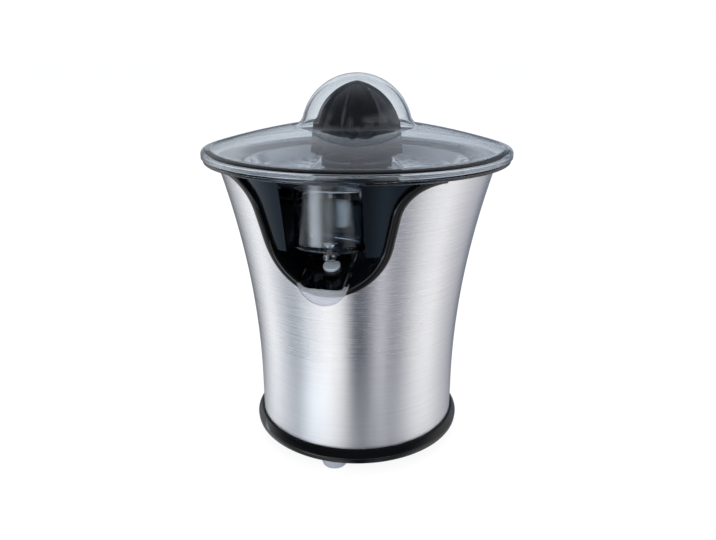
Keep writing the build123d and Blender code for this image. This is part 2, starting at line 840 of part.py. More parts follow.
# Strainer: a pressed steel dish with a raised collar round the bowl's hub and rings of slots
strainer_radius = strainer_pocket - strainer_side_gap
strainer_top = ledge_height + seat_gap + strainer_thickness
dish_top = strainer_top - strainer_dish_depth
dish_edge = strainer_radius - strainer_flat
dish_radius = dish_edge - strainer_slope_run
collar_hole = hub_radius + strainer_hub_gap
collar_foot = collar_hole + collar_slope_run
collar_top = dish_top + collar_rise
strainer_line = [
    (strainer_radius, strainer_top),
    (dish_edge, strainer_top),
    (dish_radius, dish_top),
    (collar_foot, dish_top),
    (collar_hole + strainer_thickness, collar_top),
    (collar_hole, collar_top),
]
slot_rings = int((dish_radius - collar_foot - slot_ring_step / 2) // slot_ring_step)
with BuildPart() as strainer:
    underside = [(radius, height - strainer_thickness) for radius, height in reversed(strainer_line)]
    revolve(ring_section(strainer_line + underside), Axis.Z)
    with BuildSketch(Plane.XY.offset(dish_top - strainer_thickness)):
        for ring in range(slot_rings):
            slot_radius = collar_foot + slot_ring_step * (ring + slot_ring_start)
            slot_count = int(2 * math.pi * slot_radius // slot_spacing)
            with PolarLocations(slot_radius, slot_count, start_angle=ring * slot_spacing):
                SlotOverall(slot_length, slot_width)
    extrude(amount=strainer_thickness, mode=Mode.SUBTRACT)
finish(strainer, "strainer")


def cone_section(height, radius, skirt_radius, shoulder, bottom, inset):
    """Half section of a cone: an arched flank on a nearly upright skirt, shrunk inwards by an inset."""
    apex = (0.0, bottom + height - inset)
    foot = (radius - inset, bottom + shoulder)
    flank_way = Vector(foot[0] - apex[0], foot[1] - apex[1])
    bulge = Vector(-flank_way.Y, flank_way.X) * cone_bulge
    middle = ((apex[0] + foot[0]) / 2 + bulge.X, (apex[1] + foot[1]) / 2 + bulge.Y)
    with BuildSketch(Plane.XZ) as section:
        with BuildLine():
            ThreePointArc(apex, middle, foot)
            Polyline(foot, (skirt_radius - inset, bottom), (0, bottom), apex)
        make_face()
    return section.sketch


def cone_ribs(section, count, start_angle, bottom, top, width):
    """Upright blades through the axis, trimmed to a cone's section."""
    with BuildPart() as blades:
        with BuildSketch(Plane.XY.offset(bottom)):
            with PolarLocations(0, count, start_angle=start_angle):
                Rectangle(through, width, align=(Align.MIN, Align.CENTER))
        extrude(amount=top - bottom)
        revolve(section, Axis.Z, mode=Mode.INTERSECT)
    return blades.part


# Small cone: sits on the shaft's hexagon
small_cone_size = (small_cone_height, small_cone_radius, small_cone_skirt_radius, small_cone_shoulder)
small_cone_shape = (*small_cone_size, small_cone_bottom)
small_cone_top = small_cone_bottom + small_cone_height
with BuildPart() as small_cone:
    revolve(cone_section(*small_cone_shape, rib_height), Axis.Z)
    add(
        cone_ribs(
            cone_section(*small_cone_shape, 0),
            small_rib_count,
            front_angle,
            small_cone_bottom,
            small_cone_top,
            rib_width,
        )
    )
    revolve(cone_section(*small_cone_shape, rib_height + cone_wall), Axis.Z, mode=Mode.SUBTRACT)
    with BuildSketch(Plane.XY.offset(small_cone_bottom)):
        Circle(shaft_radius + cone_wall)
    extrude(amount=shaft_shoulder_rise + shaft_hex_length + cone_wall)
    add(
        cone_ribs(
            cone_section(*small_cone_shape, rib_height),
            fin_count,
            front_angle,
            shaft_shoulder + fin_width,
            small_cone_top,
            fin_width,
        )
    )
    with BuildSketch(Plane.XY.offset(small_cone_bottom)):
        Circle(shaft_radius + hex_gap)
    extrude(amount=shaft_shoulder_rise + hex_gap, mode=Mode.SUBTRACT)
    with BuildSketch(Plane.XY.offset(small_cone_bottom)):
        RegularPolygon(shaft_hex_across / 2 + hex_gap, 6, major_radius=False)
    extrude(amount=shaft_shoulder_rise + shaft_hex_length + hex_gap, mode=Mode.SUBTRACT)
finish(small_cone, "small_cone")

# Large cone: slips over the small one and stands on its ribs
large_cone_size = (large_cone_height, large_cone_radius, large_cone_skirt_radius, large_cone_shoulder)
large_cone_shape = (*large_cone_size, large_cone_bottom)
large_cone_top = large_cone_bottom + large_cone_height
short_rib_top = large_cone_bottom + large_cone_height * short_rib_share
with BuildPart() as small_cone_room:
    revolve(cone_section(*small_cone_shape, -seat_gap), Axis.Z)
    with BuildSketch(Plane.XY.offset(large_cone_bottom)):
        Circle(small_cone_skirt_radius + seat_gap)
    extrude(amount=large_cone_drop)
with BuildPart() as seat_fins:
    add(
        cone_ribs(
            cone_section(*large_cone_shape, rib_height + cone_wall / 2),
            fin_count,
            front_angle,
            large_cone_bottom + large_cone_shoulder / 2,
            large_cone_top,
            fin_width,
        )
    )
    add(small_cone_room.part, mode=Mode.SUBTRACT)
with BuildPart() as large_cone:
    revolve(cone_section(*large_cone_shape, rib_height), Axis.Z)
    add(
        cone_ribs(
            cone_section(*large_cone_shape, 0),
            long_rib_count,
            front_angle,
            large_cone_bottom,
            large_cone_top,
            rib_width,
        )
    )
    add(
        cone_ribs(
            cone_section(*large_cone_shape, 0),
            long_rib_count,
            front_angle + full_turn / long_rib_count / 2,
            large_cone_bottom,
            short_rib_top,
            rib_width,
        )
    )
    revolve(cone_section(*large_cone_shape, rib_height + cone_wall), Axis.Z, mode=Mode.SUBTRACT)
    add(seat_fins.part)
finish(large_cone, "large_cone")


def lid_section(inset, bottom):
    """Half section under the lid's surface: dome, hollow foot, crowned brim, shoulder and skirt."""
    dome_centre = lid_bottom + dome_rise
    radius = dome_radius - inset
    foot_angle = math.radians(dome_foot_angle)
    half_angle = (foot_angle + math.pi / 2) / 2
    dome_foot = (radius * math.cos(foot_angle), dome_centre + radius * math.sin(foot_angle))
    dome_middle = (radius * math.cos(half_angle), dome_centre + radius * math.sin(half_angle))
    foot_way = Vector(math.sin(foot_angle), -math.cos(foot_angle))
    brim = Vector(lid_brim_radius - inset / 2, lid_bottom + lid_brim_rise - inset)
    lip = Vector(lid_lip_radius, lid_bottom + lid_lip_rise - inset)
    brim_middle = (brim + lip) / 2 + Vector(0, lid_brim_crown)
    skirt_radius = rim_radius + lid_skirt_overhang - (lid_skirt_wall if inset else 0)
    skirt_top = lid_bottom + lid_skirt_height
    shoulder = skirt_radius - lid_skirt_height
    with BuildSketch(Plane.XZ) as section:
        with BuildLine():
            ThreePointArc((0, dome_centre + radius), dome_middle, dome_foot)
            TangentArc(dome_foot, (brim.X, brim.Y), tangent=(foot_way.X, foot_way.Y))
            ThreePointArc((brim.X, brim.Y), (brim_middle.X, brim_middle.Y), (lip.X, lip.Y))
            Line((lip.X, lip.Y), (shoulder, skirt_top + lid_skirt_height))
            Polyline(
                (shoulder, skirt_top + lid_skirt_height),
                (skirt_radius, skirt_top),
                (skirt_radius, bottom),
                (0, bottom),
                (0, dome_centre + radius),
            )
        make_face()
    return section.sketch


# Lid: one clear moulding
with BuildPart() as lid:
    revolve(lid_section(0, lid_bottom), Axis.Z)
    revolve(lid_section(lid_wall, lid_bottom - lid_wall), Axis.Z, mode=Mode.SUBTRACT)
finish(lid, "lid")


def gear_face(teeth, module, centre, tooth_angle, height):
    """Spur gear seen from above, with one tooth pointing along tooth_angle (radians)."""
    pitch_radius = module * teeth / 2
    slant = math.radians(pressure_angle)
    base_radius = pitch_radius * math.cos(slant)
    tip_radius = pitch_radius + addendum * module
    root_radius = pitch_radius - dedendum * module
    pitch_half = math.pi / (2 * teeth) - backlash / (2 * pitch_radius)
    flank_foot = max(base_radius, root_radius)
    flank = [flank_foot + (tip_radius - flank_foot) * share for share in flank_shares]
    if root_radius < base_radius:
        flank.insert(0, root_radius)

    def half_angle(radius):
        roll = math.acos(min(base_radius / max(radius, flank_foot), 1.0))
        return pitch_half + math.tan(slant) - slant - math.tan(roll) + roll

    points = []
    for tooth in range(teeth):
        middle = tooth_angle + 2 * math.pi * tooth / teeth
        for side, radii in ((-1, flank), (1, flank[::-1])):
            for radius in radii:
                angle = middle + side * half_angle(radius)
                points.append((centre.X + radius * math.cos(angle), centre.Y + radius * math.sin(angle)))
    with BuildSketch(Plane.XY.offset(height)) as face:
        with BuildLine():
            Polyline(*points, close=True)
        make_face()
    return face.sketch


# Angles at which the gears face one another
idler_from_shaft = math.atan2(idler_centre.Y, idler_centre.X)
to_motor = motor_centre - idler_centre
motor_from_idler = math.atan2(to_motor.Y, to_motor.X)
half_wheel_tooth = math.pi / wheel_teeth

# Output gear, pinned to the shaft; a gap between its teeth faces the idler
drive_pin_height = output_gear_bottom + output_gear_width + (gear_hub_length - output_gear_width) / 2
drive_pin_plane = Plane(origin=(0, 0, drive_pin_height), x_dir=(0, 1, 0), z_dir=(1, 0, 0))
with BuildPart() as output_gear:
    extrude(
        gear_face(
            wheel_teeth,
            output_module,
            Vector(0, 0),
            idler_from_shaft + half_wheel_tooth,
            output_gear_bottom,
        ),
        amount=output_gear_width,
    )
    with BuildSketch(Plane.XY.offset(output_gear_bottom)):
        Circle(gear_hub_radius)
    extrude(amount=gear_hub_length)
    with BuildSketch(Plane.XY.offset(output_gear_bottom)):
        Circle(shaft_radius + fixed_gap)
    extrude(amount=gear_hub_length, mode=Mode.SUBTRACT)
    with BuildSketch(drive_pin_plane):
        Circle(drive_pin_radius + fixed_gap)
    extrude(amount=gear_hub_radius, both=True, mode=Mode.SUBTRACT)
finish(output_gear, "output_gear")

with BuildPart() as drive_pin:
    with BuildSketch(drive_pin_plane):
        Circle(drive_pin_radius)
    extrude(amount=gear_hub_radius - fixed_gap, both=True)
finish(drive_pin, "drive_pin")

with BuildPart() as drive_shaft:
    with BuildSketch(Plane.XY.offset(shaft_bottom)):
        Circle(shaft_radius)
    extrude(amount=shaft_shoulder - shaft_bottom)
    with BuildSketch(Plane.XY.offset(shaft_shoulder)):
        RegularPolygon(shaft_hex_across / 2, 6, major_radius=False)
    extrude(amount=shaft_hex_length)
    with BuildSketch(drive_pin_plane):
        Circle(drive_pin_radius + fixed_gap)
    extrude(amount=gear_hub_radius, both=True, mode=Mode.SUBTRACT)
finish(drive_shaft, "drive_shaft")

# Idler: wheel and pinion in one moulding, turning on a fixed pin
with BuildPart() as idler_gear:
    extrude(
        gear_face(
            wheel_teeth, motor_module, idler_centre, motor_from_idler + half_wheel_tooth, gear_base
        ),
        amount=motor_gear_width,
    )
    extrude(
        gear_face(
            pinion_teeth, output_module, idler_centre, idler_from_shaft + math.pi, wheel_top
        ),
        amount=idler_pinion_width,
    )
    with BuildSketch(Plane.XY.offset(gear_base)):
        with Locations(idler_centre):
            Circle(idler_pin_radius + running_gap)
    extrude(amount=motor_gear_width + idler_pinion_width, mode=Mode.SUBTRACT)
finish(idler_gear, "idler_gear")

with BuildPart() as idler_pin:
    with BuildSketch(Plane.XY.offset(gearbox_bottom)):
        with Locations(idler_centre):
            Circle(idler_pin_radius)
    extrude(amount=gearbox_height - fixed_gap)
finish(idler_pin, "idler_pin")

# Motor pinion and shaft
motor_top = gearbox_bottom
can_top = motor_top - end_bell_height
can_bottom = can_top - motor_can_length
motor_shaft_bottom = can_bottom - motor_boss_length + motor_can_wall
with BuildPart() as motor_pinion:
    extrude(
        gear_face(pinion_teeth, motor_module, motor_centre, motor_from_idler + math.pi, gear_base),
        amount=motor_gear_width,
    )
    with BuildSketch(Plane.XY.offset(gear_base)):
        with Locations(motor_centre):
            Circle(motor_shaft_radius + fixed_gap)
    extrude(amount=motor_gear_width, mode=Mode.SUBTRACT)
finish(motor_pinion, "motor_pinion")

with BuildPart() as motor_shaft:
    with BuildSketch(Plane.XY.offset(motor_shaft_bottom)):
        with Locations(motor_centre):
            Circle(motor_shaft_radius)
    extrude(amount=wheel_top - motor_shaft_bottom)
finish(motor_shaft, "motor_shaft")

# Motor can: a drawn steel cup with a boss for the lower bearing
with BuildPart() as motor_can:
    with BuildSketch(Plane.XY.offset(can_bottom)):
        with Locations(motor_centre):
            Circle(motor_radius)
    extrude(amount=motor_can_length)
    with BuildSketch(Plane.XY.offset(can_bottom)):
        with Locations(motor_centre):
            Circle(motor_boss_radius)
    extrude(amount=-motor_boss_length)
    with BuildSketch(Plane.XY.offset(can_bottom + motor_can_wall)):
        with Locations(motor_centre):
            Circle(motor_radius - motor_can_wall)
    extrude(amount=motor_can_length, mode=Mode.SUBTRACT)
    with BuildSketch(Plane.XY.offset(motor_shaft_bottom)):
        with Locations(motor_centre):
            Circle(bearing_radius + fixed_gap)
    extrude(amount=bearing_length, mode=Mode.SUBTRACT)
finish(motor_can, "motor_can")

# End bell: closes the can and carries the upper bearing
motor_screw_spots = [motor_centre + Vector(side * motor_screw_spread, 0) for side in (-1, 1)]
with BuildPart() as end_bell:
    with BuildSketch(Plane.XY.offset(can_top)):
        with Locations(motor_centre):
            Circle(motor_radius)
            Circle(bearing_radius + fixed_gap, mode=Mode.SUBTRACT)
        with Locations(*motor_screw_spots):
            Circle(small_screw_radius + screw_gap, mode=Mode.SUBTRACT)
    extrude(amount=end_bell_height)
finish(end_bell, "end_bell")

with BuildPart() as motor_bearings:
    for bearing_bottom in (motor_shaft_bottom, can_top + (end_bell_height - bearing_length) / 2):
        with BuildSketch(Plane.XY.offset(bearing_bottom)):
            with Locations(motor_centre):
                Circle(bearing_radius)
                Circle(motor_shaft_radius + running_gap, mode=Mode.SUBTRACT)
        extrude(amount=bearing_length)
finish(motor_bearings, "motor_bearings")

# Magnets: two arcs against the can
magnet_outer = motor_radius - motor_can_wall - fixed_gap
magnet_inner = magnet_outer - magnet_thickness
magnet_bottom = can_bottom + motor_can_wall + winding_length + fixed_gap
with BuildPart() as motor_magnets:
    with BuildSketch(Plane.XY.offset(magnet_bottom)):
        with Locations(motor_centre):
            Circle(magnet_outer)
            Circle(magnet_inner, mode=Mode.SUBTRACT)
            half_gap = magnet_outer * math.cos(math.radians(magnet_arc / 2))
            Rectangle(half_gap * 2, through, mode=Mode.SUBTRACT)
    extrude(amount=magnet_length)
finish(motor_magnets, "motor_magnets")

# Armature: slotted core, end windings and commutator on the motor shaft
core_radius = magnet_inner - air_gap
core_bottom = magnet_bottom + (magnet_length - core_length) / 2
with BuildPart() as armature_core:
    with BuildSketch(Plane.XY.offset(core_bottom)):
        with Locations(motor_centre):
            Circle(core_radius)
            Circle(motor_shaft_radius + fixed_gap, mode=Mode.SUBTRACT)
            with PolarLocations(core_radius - core_slot_depth / 2, core_slots):
                Rectangle(core_slot_depth, core_slot_width, mode=Mode.SUBTRACT)
    extrude(amount=core_length)
finish(armature_core, "armature_core")

with BuildPart() as armature_windings:
    for winding_bottom in (core_bottom - winding_length, core_bottom + core_length):
        with BuildSketch(Plane.XY.offset(winding_bottom)):
            with Locations(motor_centre):
                Circle(core_radius - air_gap * 2)
                Circle(motor_shaft_radius * 2, mode=Mode.SUBTRACT)
        extrude(amount=winding_length)
    fillet(armature_windings.edges().filter_by(GeomType.CIRCLE), winding_length / 4)
finish(armature_windings, "armature_windings")

commutator_bottom = can_top - brush_card_thickness - commutator_length
with BuildPart() as commutator:
    with BuildSketch(Plane.XY.offset(commutator_bottom)):
        with Locations(motor_centre):
            Circle(commutator_radius)
            Circle(motor_shaft_radius + fixed_gap, mode=Mode.SUBTRACT)
    extrude(amount=commutator_length)
finish(commutator, "commutator")

# Brush card under the end bell, with a carbon brush on each side of the commutator
with BuildPart() as brush_card:
    with BuildSketch(Plane.XY.offset(can_top - brush_card_thickness)):
        with Locations(motor_centre):
            Circle(motor_radius - motor_can_wall - fixed_gap)
            Circle(commutator_radius + brush_gap, mode=Mode.SUBTRACT)
    extrude(amount=brush_card_thickness)
finish(brush_card, "brush_card")

with BuildPart() as brushes:
    with BuildSketch(Plane.XY.offset(can_top - brush_card_thickness)):
        with Locations(motor_centre):
            with PolarLocations(commutator_radius + brush_gap, 2):
                Rectangle(brush_length, brush_size, align=(Align.MIN, Align.CENTER))
    extrude(amount=-brush_size)
finish(brushes, "brushes")

# Gearbox tray: floor, wall, screw bosses, seat for the shaft's lower bush
with BuildPart() as gearbox_tray:
    extrude(gearbox_outline(gearbox_tooth_gap + gearbox_wall), amount=cover_bottom - gearbox_bottom)
    with BuildSketch():
        with Locations(*boss_centres):
            Circle(boss_radius)
    extrude(amount=cover_bottom - gearbox_bottom)
    extrude(
        Plane.XY.offset(gearbox_floor) * gearbox_outline(gearbox_tooth_gap),
        amount=gearbox_height,
        mode=Mode.SUBTRACT,
    )
    with BuildSketch():
        Circle(lower_bush_radius + gearbox_wall)
    extrude(amount=lower_bush_length)
    with BuildSketch():
        with Locations(idler_centre):
            Circle(idler_pin_radius + gearbox_wall)
    extrude(amount=gearbox_floor + gear_floor_gap - wall_gap)
    with BuildSketch():
        Circle(lower_bush_radius + fixed_gap)
        with Locations(idler_centre):
            Circle(idler_pin_radius + fixed_gap)
        with Locations(motor_centre):
            Circle(bearing_radius)
        with Locations(*motor_screw_spots, *bracket_ears):
            Circle(small_screw_radius + screw_gap)
    extrude(amount=gearbox_height, mode=Mode.SUBTRACT)
    with BuildSketch(Plane.XY.offset(cover_bottom - gearbox_bottom)):
        with Locations(*boss_centres):
            Circle(small_screw_radius + screw_gap)
    extrude(amount=-gearbox_height / 2, mode=Mode.SUBTRACT)
gearbox_tray.part.locate(Location((0, 0, gearbox_bottom)))
finish(gearbox_tray, "gearbox_tray")

with BuildPart() as gearbox_cover:
    extrude(
        Plane.XY.offset(cover_bottom) * gearbox_outline(gearbox_tooth_gap + gearbox_wall),
        amount=gearbox_cover_thickness,
    )
    with BuildSketch(Plane.XY.offset(cover_bottom)):
        with Locations(*boss_centres):
            Circle(boss_radius)
    extrude(amount=gearbox_cover_thickness)
    with BuildSketch(Plane.XY.offset(cover_bottom)):
        Circle(lower_bush_radius + fixed_gap)
        with Locations(idler_centre):
            Circle(idler_pin_radius + fixed_gap)
        with Locations(*boss_centres):
            Circle(small_screw_radius + screw_gap)
    extrude(amount=gearbox_cover_thickness, mode=Mode.SUBTRACT)
finish(gearbox_cover, "gearbox_cover")

with BuildPart() as gearbox_screws:
    with BuildSketch(Plane.XY.offset(deck_top)):
        with Locations(*boss_centres):
            Circle(small_screw_head_radius)
    extrude(amount=screw_head_height)
    with BuildSketch(Plane.XY.offset(deck_top)):
        with Locations(*boss_centres):
            Circle(small_screw_radius)
    extrude(amount=-(deck_top - cover_bottom + boss_radius * 2))
finish(gearbox_screws, "gearbox_screws")

with BuildPart() as motor_screws:
    with BuildSketch(Plane.XY.offset(gearbox_bottom + gearbox_floor)):
        with Locations(*motor_screw_spots):
            Circle(small_screw_head_radius)
    extrude(amount=screw_head_height)
    with BuildSketch(Plane.XY.offset(gearbox_bottom + gearbox_floor)):
        with Locations(*motor_screw_spots):
            Circle(small_screw_radius)
    extrude(amount=-(gearbox_floor + end_bell_height - screw_head_height))
finish(motor_screws, "motor_screws")

# Bushes and lip seal for the drive shaft
with BuildPart() as shaft_bushes:
    for bush_bottom, bush_length in ((gearbox_bottom, lower_bush_length), (deck_bottom, upper_bush_length)):
        with BuildSketch(Plane.XY.offset(bush_bottom)):
            Circle(lower_bush_radius)
            Circle(shaft_radius + running_gap, mode=Mode.SUBTRACT)
        extrude(amount=bush_length)
finish(shaft_bushes, "shaft_bushes")

with BuildPart() as shaft_seal:
    with BuildSketch(Plane.XY.offset(deck_top + chimney_height - seal_height)):
        Circle(seal_radius)
        Circle(shaft_radius + running_gap, mode=Mode.SUBTRACT)
    extrude(amount=seal_height)
finish(shaft_seal, "shaft_seal")

# Switch bracket: a cup under the gearbox that guides the plunger, with a tongue for the switch
guide_radius = plunger_radius + wall_gap
stem_bottom = shaft_bottom - seat_gap - plunger_head - plunger_stem_length
button_top = stem_bottom - wall_gap
switch_top = button_top - switch_button_rise
switch_bottom = switch_top - switch_height
switch_screw_spots = [(side * switch_screw_spread, switch_bottom + switch_height / 3) for side in (-1, 1)]
with BuildPart() as switch_bracket:
    with BuildSketch(Plane.XY.offset(guide_bottom)):
        Circle(guide_radius + guide_wall)
    extrude(amount=gearbox_bottom - guide_bottom)
    with BuildSketch(Plane.XY.offset(gearbox_bottom)) as flange_outline:
        Circle(guide_radius + guide_wall)
        with Locations(*bracket_ears):
            Circle(bracket_ear_radius)
        make_hull()
    extrude(amount=-bracket_flange)
    with BuildSketch(Plane.XY.offset(guide_bottom + guide_floor)):
        Circle(guide_radius)
    extrude(amount=gearbox_height, mode=Mode.SUBTRACT)
    with BuildSketch(Plane.XY.offset(guide_bottom)):
        Circle(plunger_stem_radius + wall_gap / 2)
    extrude(amount=guide_floor, mode=Mode.SUBTRACT)
    with BuildSketch(Plane.XY.offset(gearbox_bottom)):
        with Locations(*bracket_ears):
            Circle(small_screw_radius + screw_gap)
    extrude(amount=-bracket_flange, mode=Mode.SUBTRACT)
    with BuildSketch(Plane.XY.offset(switch_bottom)):
        with Locations((0, switch_width / 2)):
            Rectangle(switch_length, tongue_thickness, align=(Align.CENTER, Align.MIN))
    extrude(amount=guide_bottom - switch_bottom)
    with BuildSketch(Plane.XZ):
        with Locations(*switch_screw_spots):
            Circle(small_screw_radius + screw_gap)
    extrude(amount=-through, mode=Mode.SUBTRACT)
finish(switch_bracket, "switch_bracket")

with BuildPart() as bracket_screws:
    with BuildSketch(Plane.XY.offset(gearbox_bottom - bracket_flange)):
        with Locations(*bracket_ears):
            Circle(small_screw_head_radius)
    extrude(amount=-screw_head_height)
    with BuildSketch(Plane.XY.offset(gearbox_bottom - bracket_flange)):
        with Locations(*bracket_ears):
            Circle(small_screw_radius)
    extrude(amount=bracket_flange + gearbox_floor - screw_gap)
finish(bracket_screws, "bracket_screws")

# Plunger that the shaft's end pushes down, and its return spring
plunger_top = shaft_bottom - seat_gap
with BuildPart() as switch_plunger:
    with BuildSketch(Plane.XY.offset(plunger_top)):
        Circle(plunger_radius)
    extrude(amount=-plunger_head)
    with BuildSketch(Plane.XY.offset(plunger_top - plunger_head)):
        Circle(plunger_stem_radius)
    extrude(amount=-plunger_stem_length)
finish(switch_plunger, "switch_plunger")

spring_bottom = guide_bottom + guide_floor + spring_wire_radius + fixed_gap
spring_rise = spring_length - spring_wire_radius * 2 - fixed_gap * 2
with BuildPart() as return_spring:
    with BuildLine(Plane.XY.offset(spring_bottom)) as coil:
        Helix(spring_rise / spring_turns, spring_rise, spring_radius)
    with BuildSketch(coil.line ^ 0):
        Circle(spring_wire_radius)
    sweep()
finish(return_spring, "return_spring")

# Microswitch: body with a well for its button
button_bottom = switch_top - switch_button_depth
with BuildPart() as switch_body:
    with BuildSketch(Plane.XY.offset(switch_bottom)):
        Rectangle(switch_length, switch_width - fixed_gap * 2)
    extrude(amount=switch_height)
    with BuildSketch(Plane.XY.offset(button_bottom - press_travel - wall_gap)):
        Rectangle(switch_button_length + wall_gap, switch_button_width + wall_gap)
    extrude(amount=switch_height, mode=Mode.SUBTRACT)
    with BuildSketch(Plane.XZ):
        with Locations(*switch_screw_spots):
            Circle(small_screw_radius + screw_gap)
    extrude(amount=switch_width, both=True, mode=Mode.SUBTRACT)
finish(switch_body, "switch_body")

with BuildPart() as switch_button:
    with BuildSketch(Plane.XY.offset(button_bottom)):
        Rectangle(switch_button_length, switch_button_width)
    extrude(amount=button_top - button_bottom)
finish(switch_button, "switch_button")

with BuildPart() as switch_screws:
    with BuildSketch(Plane.XZ.offset(switch_width / 2)):
        with Locations(*switch_screw_spots):
            Circle(small_screw_head_radius)
    extrude(amount=screw_head_height)
    with BuildSketch(Plane.XZ.offset(switch_width / 2)):
        with Locations(*switch_screw_spots):
            Circle(small_screw_radius)
    extrude(amount=-(switch_width + tongue_thickness))
finish(switch_screws, "switch_screws")

# Rectifier board with its capacitor and bridge, screwed to the base plate's posts
with BuildPart() as rectifier_board:
    with BuildSketch(Plane.XY.offset(board_height)):
        with Locations((0, -board_reach)):
            Rectangle(board_length, board_width)
        with Locations(*board_posts):
            Circle(small_screw_radius + screw_gap, mode=Mode.SUBTRACT)
    extrude(amount=board_thickness)
finish(rectifier_board, "rectifier_board")

board_top = board_height + board_thickness
with BuildPart() as board_components:
    for spot, block in ((-board_width / 4, capacitor_size), (board_width / 4, bridge_size)):
        with BuildSketch(Plane.XY.offset(board_top)):
            with Locations((0, -board_reach + spot)):
                RectangleRounded(block[0], block[1], block[1] / 5)
        extrude(amount=block[2])
finish(board_components, "board_components")

with BuildPart() as board_screws:
    with BuildSketch(Plane.XY.offset(board_top)):
        with Locations(*board_posts):
            Circle(small_screw_head_radius)
    extrude(amount=screw_head_height)
    with BuildSketch(Plane.XY.offset(board_top)):
        with Locations(*board_posts):
            Circle(small_screw_radius)
    extrude(amount=-(board_thickness + board_post_height - screw_gap))
finish(board_screws, "board_screws")
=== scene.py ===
import bpy
import bmesh
import math
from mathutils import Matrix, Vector


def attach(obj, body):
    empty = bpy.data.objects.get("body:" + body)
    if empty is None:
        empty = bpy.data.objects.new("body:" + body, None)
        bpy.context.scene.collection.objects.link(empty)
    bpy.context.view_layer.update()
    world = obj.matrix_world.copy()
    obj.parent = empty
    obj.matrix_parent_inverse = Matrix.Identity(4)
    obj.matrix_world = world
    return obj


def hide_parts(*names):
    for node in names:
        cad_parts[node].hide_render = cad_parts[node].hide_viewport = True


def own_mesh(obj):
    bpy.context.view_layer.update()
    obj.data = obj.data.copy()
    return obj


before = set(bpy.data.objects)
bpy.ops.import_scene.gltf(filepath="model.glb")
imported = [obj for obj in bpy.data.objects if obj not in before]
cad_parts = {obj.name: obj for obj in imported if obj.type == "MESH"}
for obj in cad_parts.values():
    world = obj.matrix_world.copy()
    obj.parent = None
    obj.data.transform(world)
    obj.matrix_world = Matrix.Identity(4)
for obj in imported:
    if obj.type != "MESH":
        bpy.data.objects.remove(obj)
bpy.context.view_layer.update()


# Studio: a plain white sweep under a large soft light, seen from a little above the lid.
# The surroundings go from bright to grey round the object, as the brushed steel's bands show.
MM = 0.001
scene = bpy.context.scene
scene.view_settings.view_transform = "Standard"


class Shade:
    """A shader value that takes part in Python sums: each operator adds its own node."""

    def __init__(self, tree, socket=None):
        self.tree = tree
        self.socket = socket

    def node(self, kind, settings=None, inputs=None, output=0):
        made = self.tree.nodes.new("ShaderNode" + kind)
        for name, value in (settings or {}).items():
            if name == "stops":
                ramp = made.color_ramp
                while len(ramp.elements) < len(value):
                    ramp.elements.new(1.0)
                for element, (place, colour) in zip(ramp.elements, value):
                    element.position = place
                    element.color = (*colour, 1.0)
            else:
                setattr(made, name, value)
        for name, value in (inputs or {}).items():
            if isinstance(value, Shade):
                self.tree.links.new(value.socket, made.inputs[name])
            else:
                made.inputs[name].default_value = value
        return Shade(self.tree, made.outputs[output])

    def sum(self, operation, *values):
        return self.node("Math", {"operation": operation}, dict(enumerate(values)))

    def __add__(self, other):
        return self.sum("ADD", self, other)

    def __radd__(self, other):
        return self.sum("ADD", other, self)

    def __sub__(self, other):
        return self.sum("SUBTRACT", self, other)

    def __rsub__(self, other):
        return self.sum("SUBTRACT", other, self)

    def __mul__(self, other):
        return self.sum("MULTIPLY", self, other)

    def __rmul__(self, other):
        return self.sum("MULTIPLY", other, self)

    def __truediv__(self, other):
        return self.sum("DIVIDE", self, other)

    def __rtruediv__(self, other):
        return self.sum("DIVIDE", other, self)


AMBIENT = (0.62, 0.64, 0.67, 1.0)
WHITE = (1.0, 1.0, 1.0, 1.0)
BLACK = (0.0, 0.0, 0.0, 1.0)
STRIP_LIGHT = (5.2, 5.7, 6.2, 1.0)
DIM_BACK = (0.20, 0.24, 0.30, 1.0)
SURROUND_STOPS = [
    (0.04, (0.10, 0.11, 0.13)),
    (0.12, (0.17, 0.19, 0.21)),
    (0.175, (0.70, 0.73, 0.77)),
    (0.228, (1.30, 1.32, 1.35)),
    (0.27, (0.92, 0.95, 1.00)),
    (0.31, (0.52, 0.56, 0.62)),
    (0.342, (0.48, 0.52, 0.58)),
    (0.373, (0.66, 0.69, 0.73)),
    (0.40, (0.90, 0.90, 0.92)),
    (0.46, (1.28, 1.28, 1.28)),
    (0.487, (1.15, 1.17, 1.19)),
    (0.533, (0.10, 0.11, 0.14)),
    (0.565, (0.16, 0.17, 0.20)),
    (0.615, (0.80, 0.80, 0.86)),
    (0.655, (0.34, 0.35, 0.40)),
    (0.69, (0.55, 0.56, 0.60)),
    (0.735, (1.02, 1.02, 1.04)),
    (0.79, (1.22, 1.22, 1.23)),
    (0.85, (0.80, 0.80, 0.84)),
    (0.90, (0.58, 0.58, 0.64)),
    (0.985, (0.10, 0.10, 0.13)),
]
OVERHEAD_STOPS = [(0.30, (0.10, 0.11, 0.13)), (0.75, (0.40, 0.42, 0.46))]
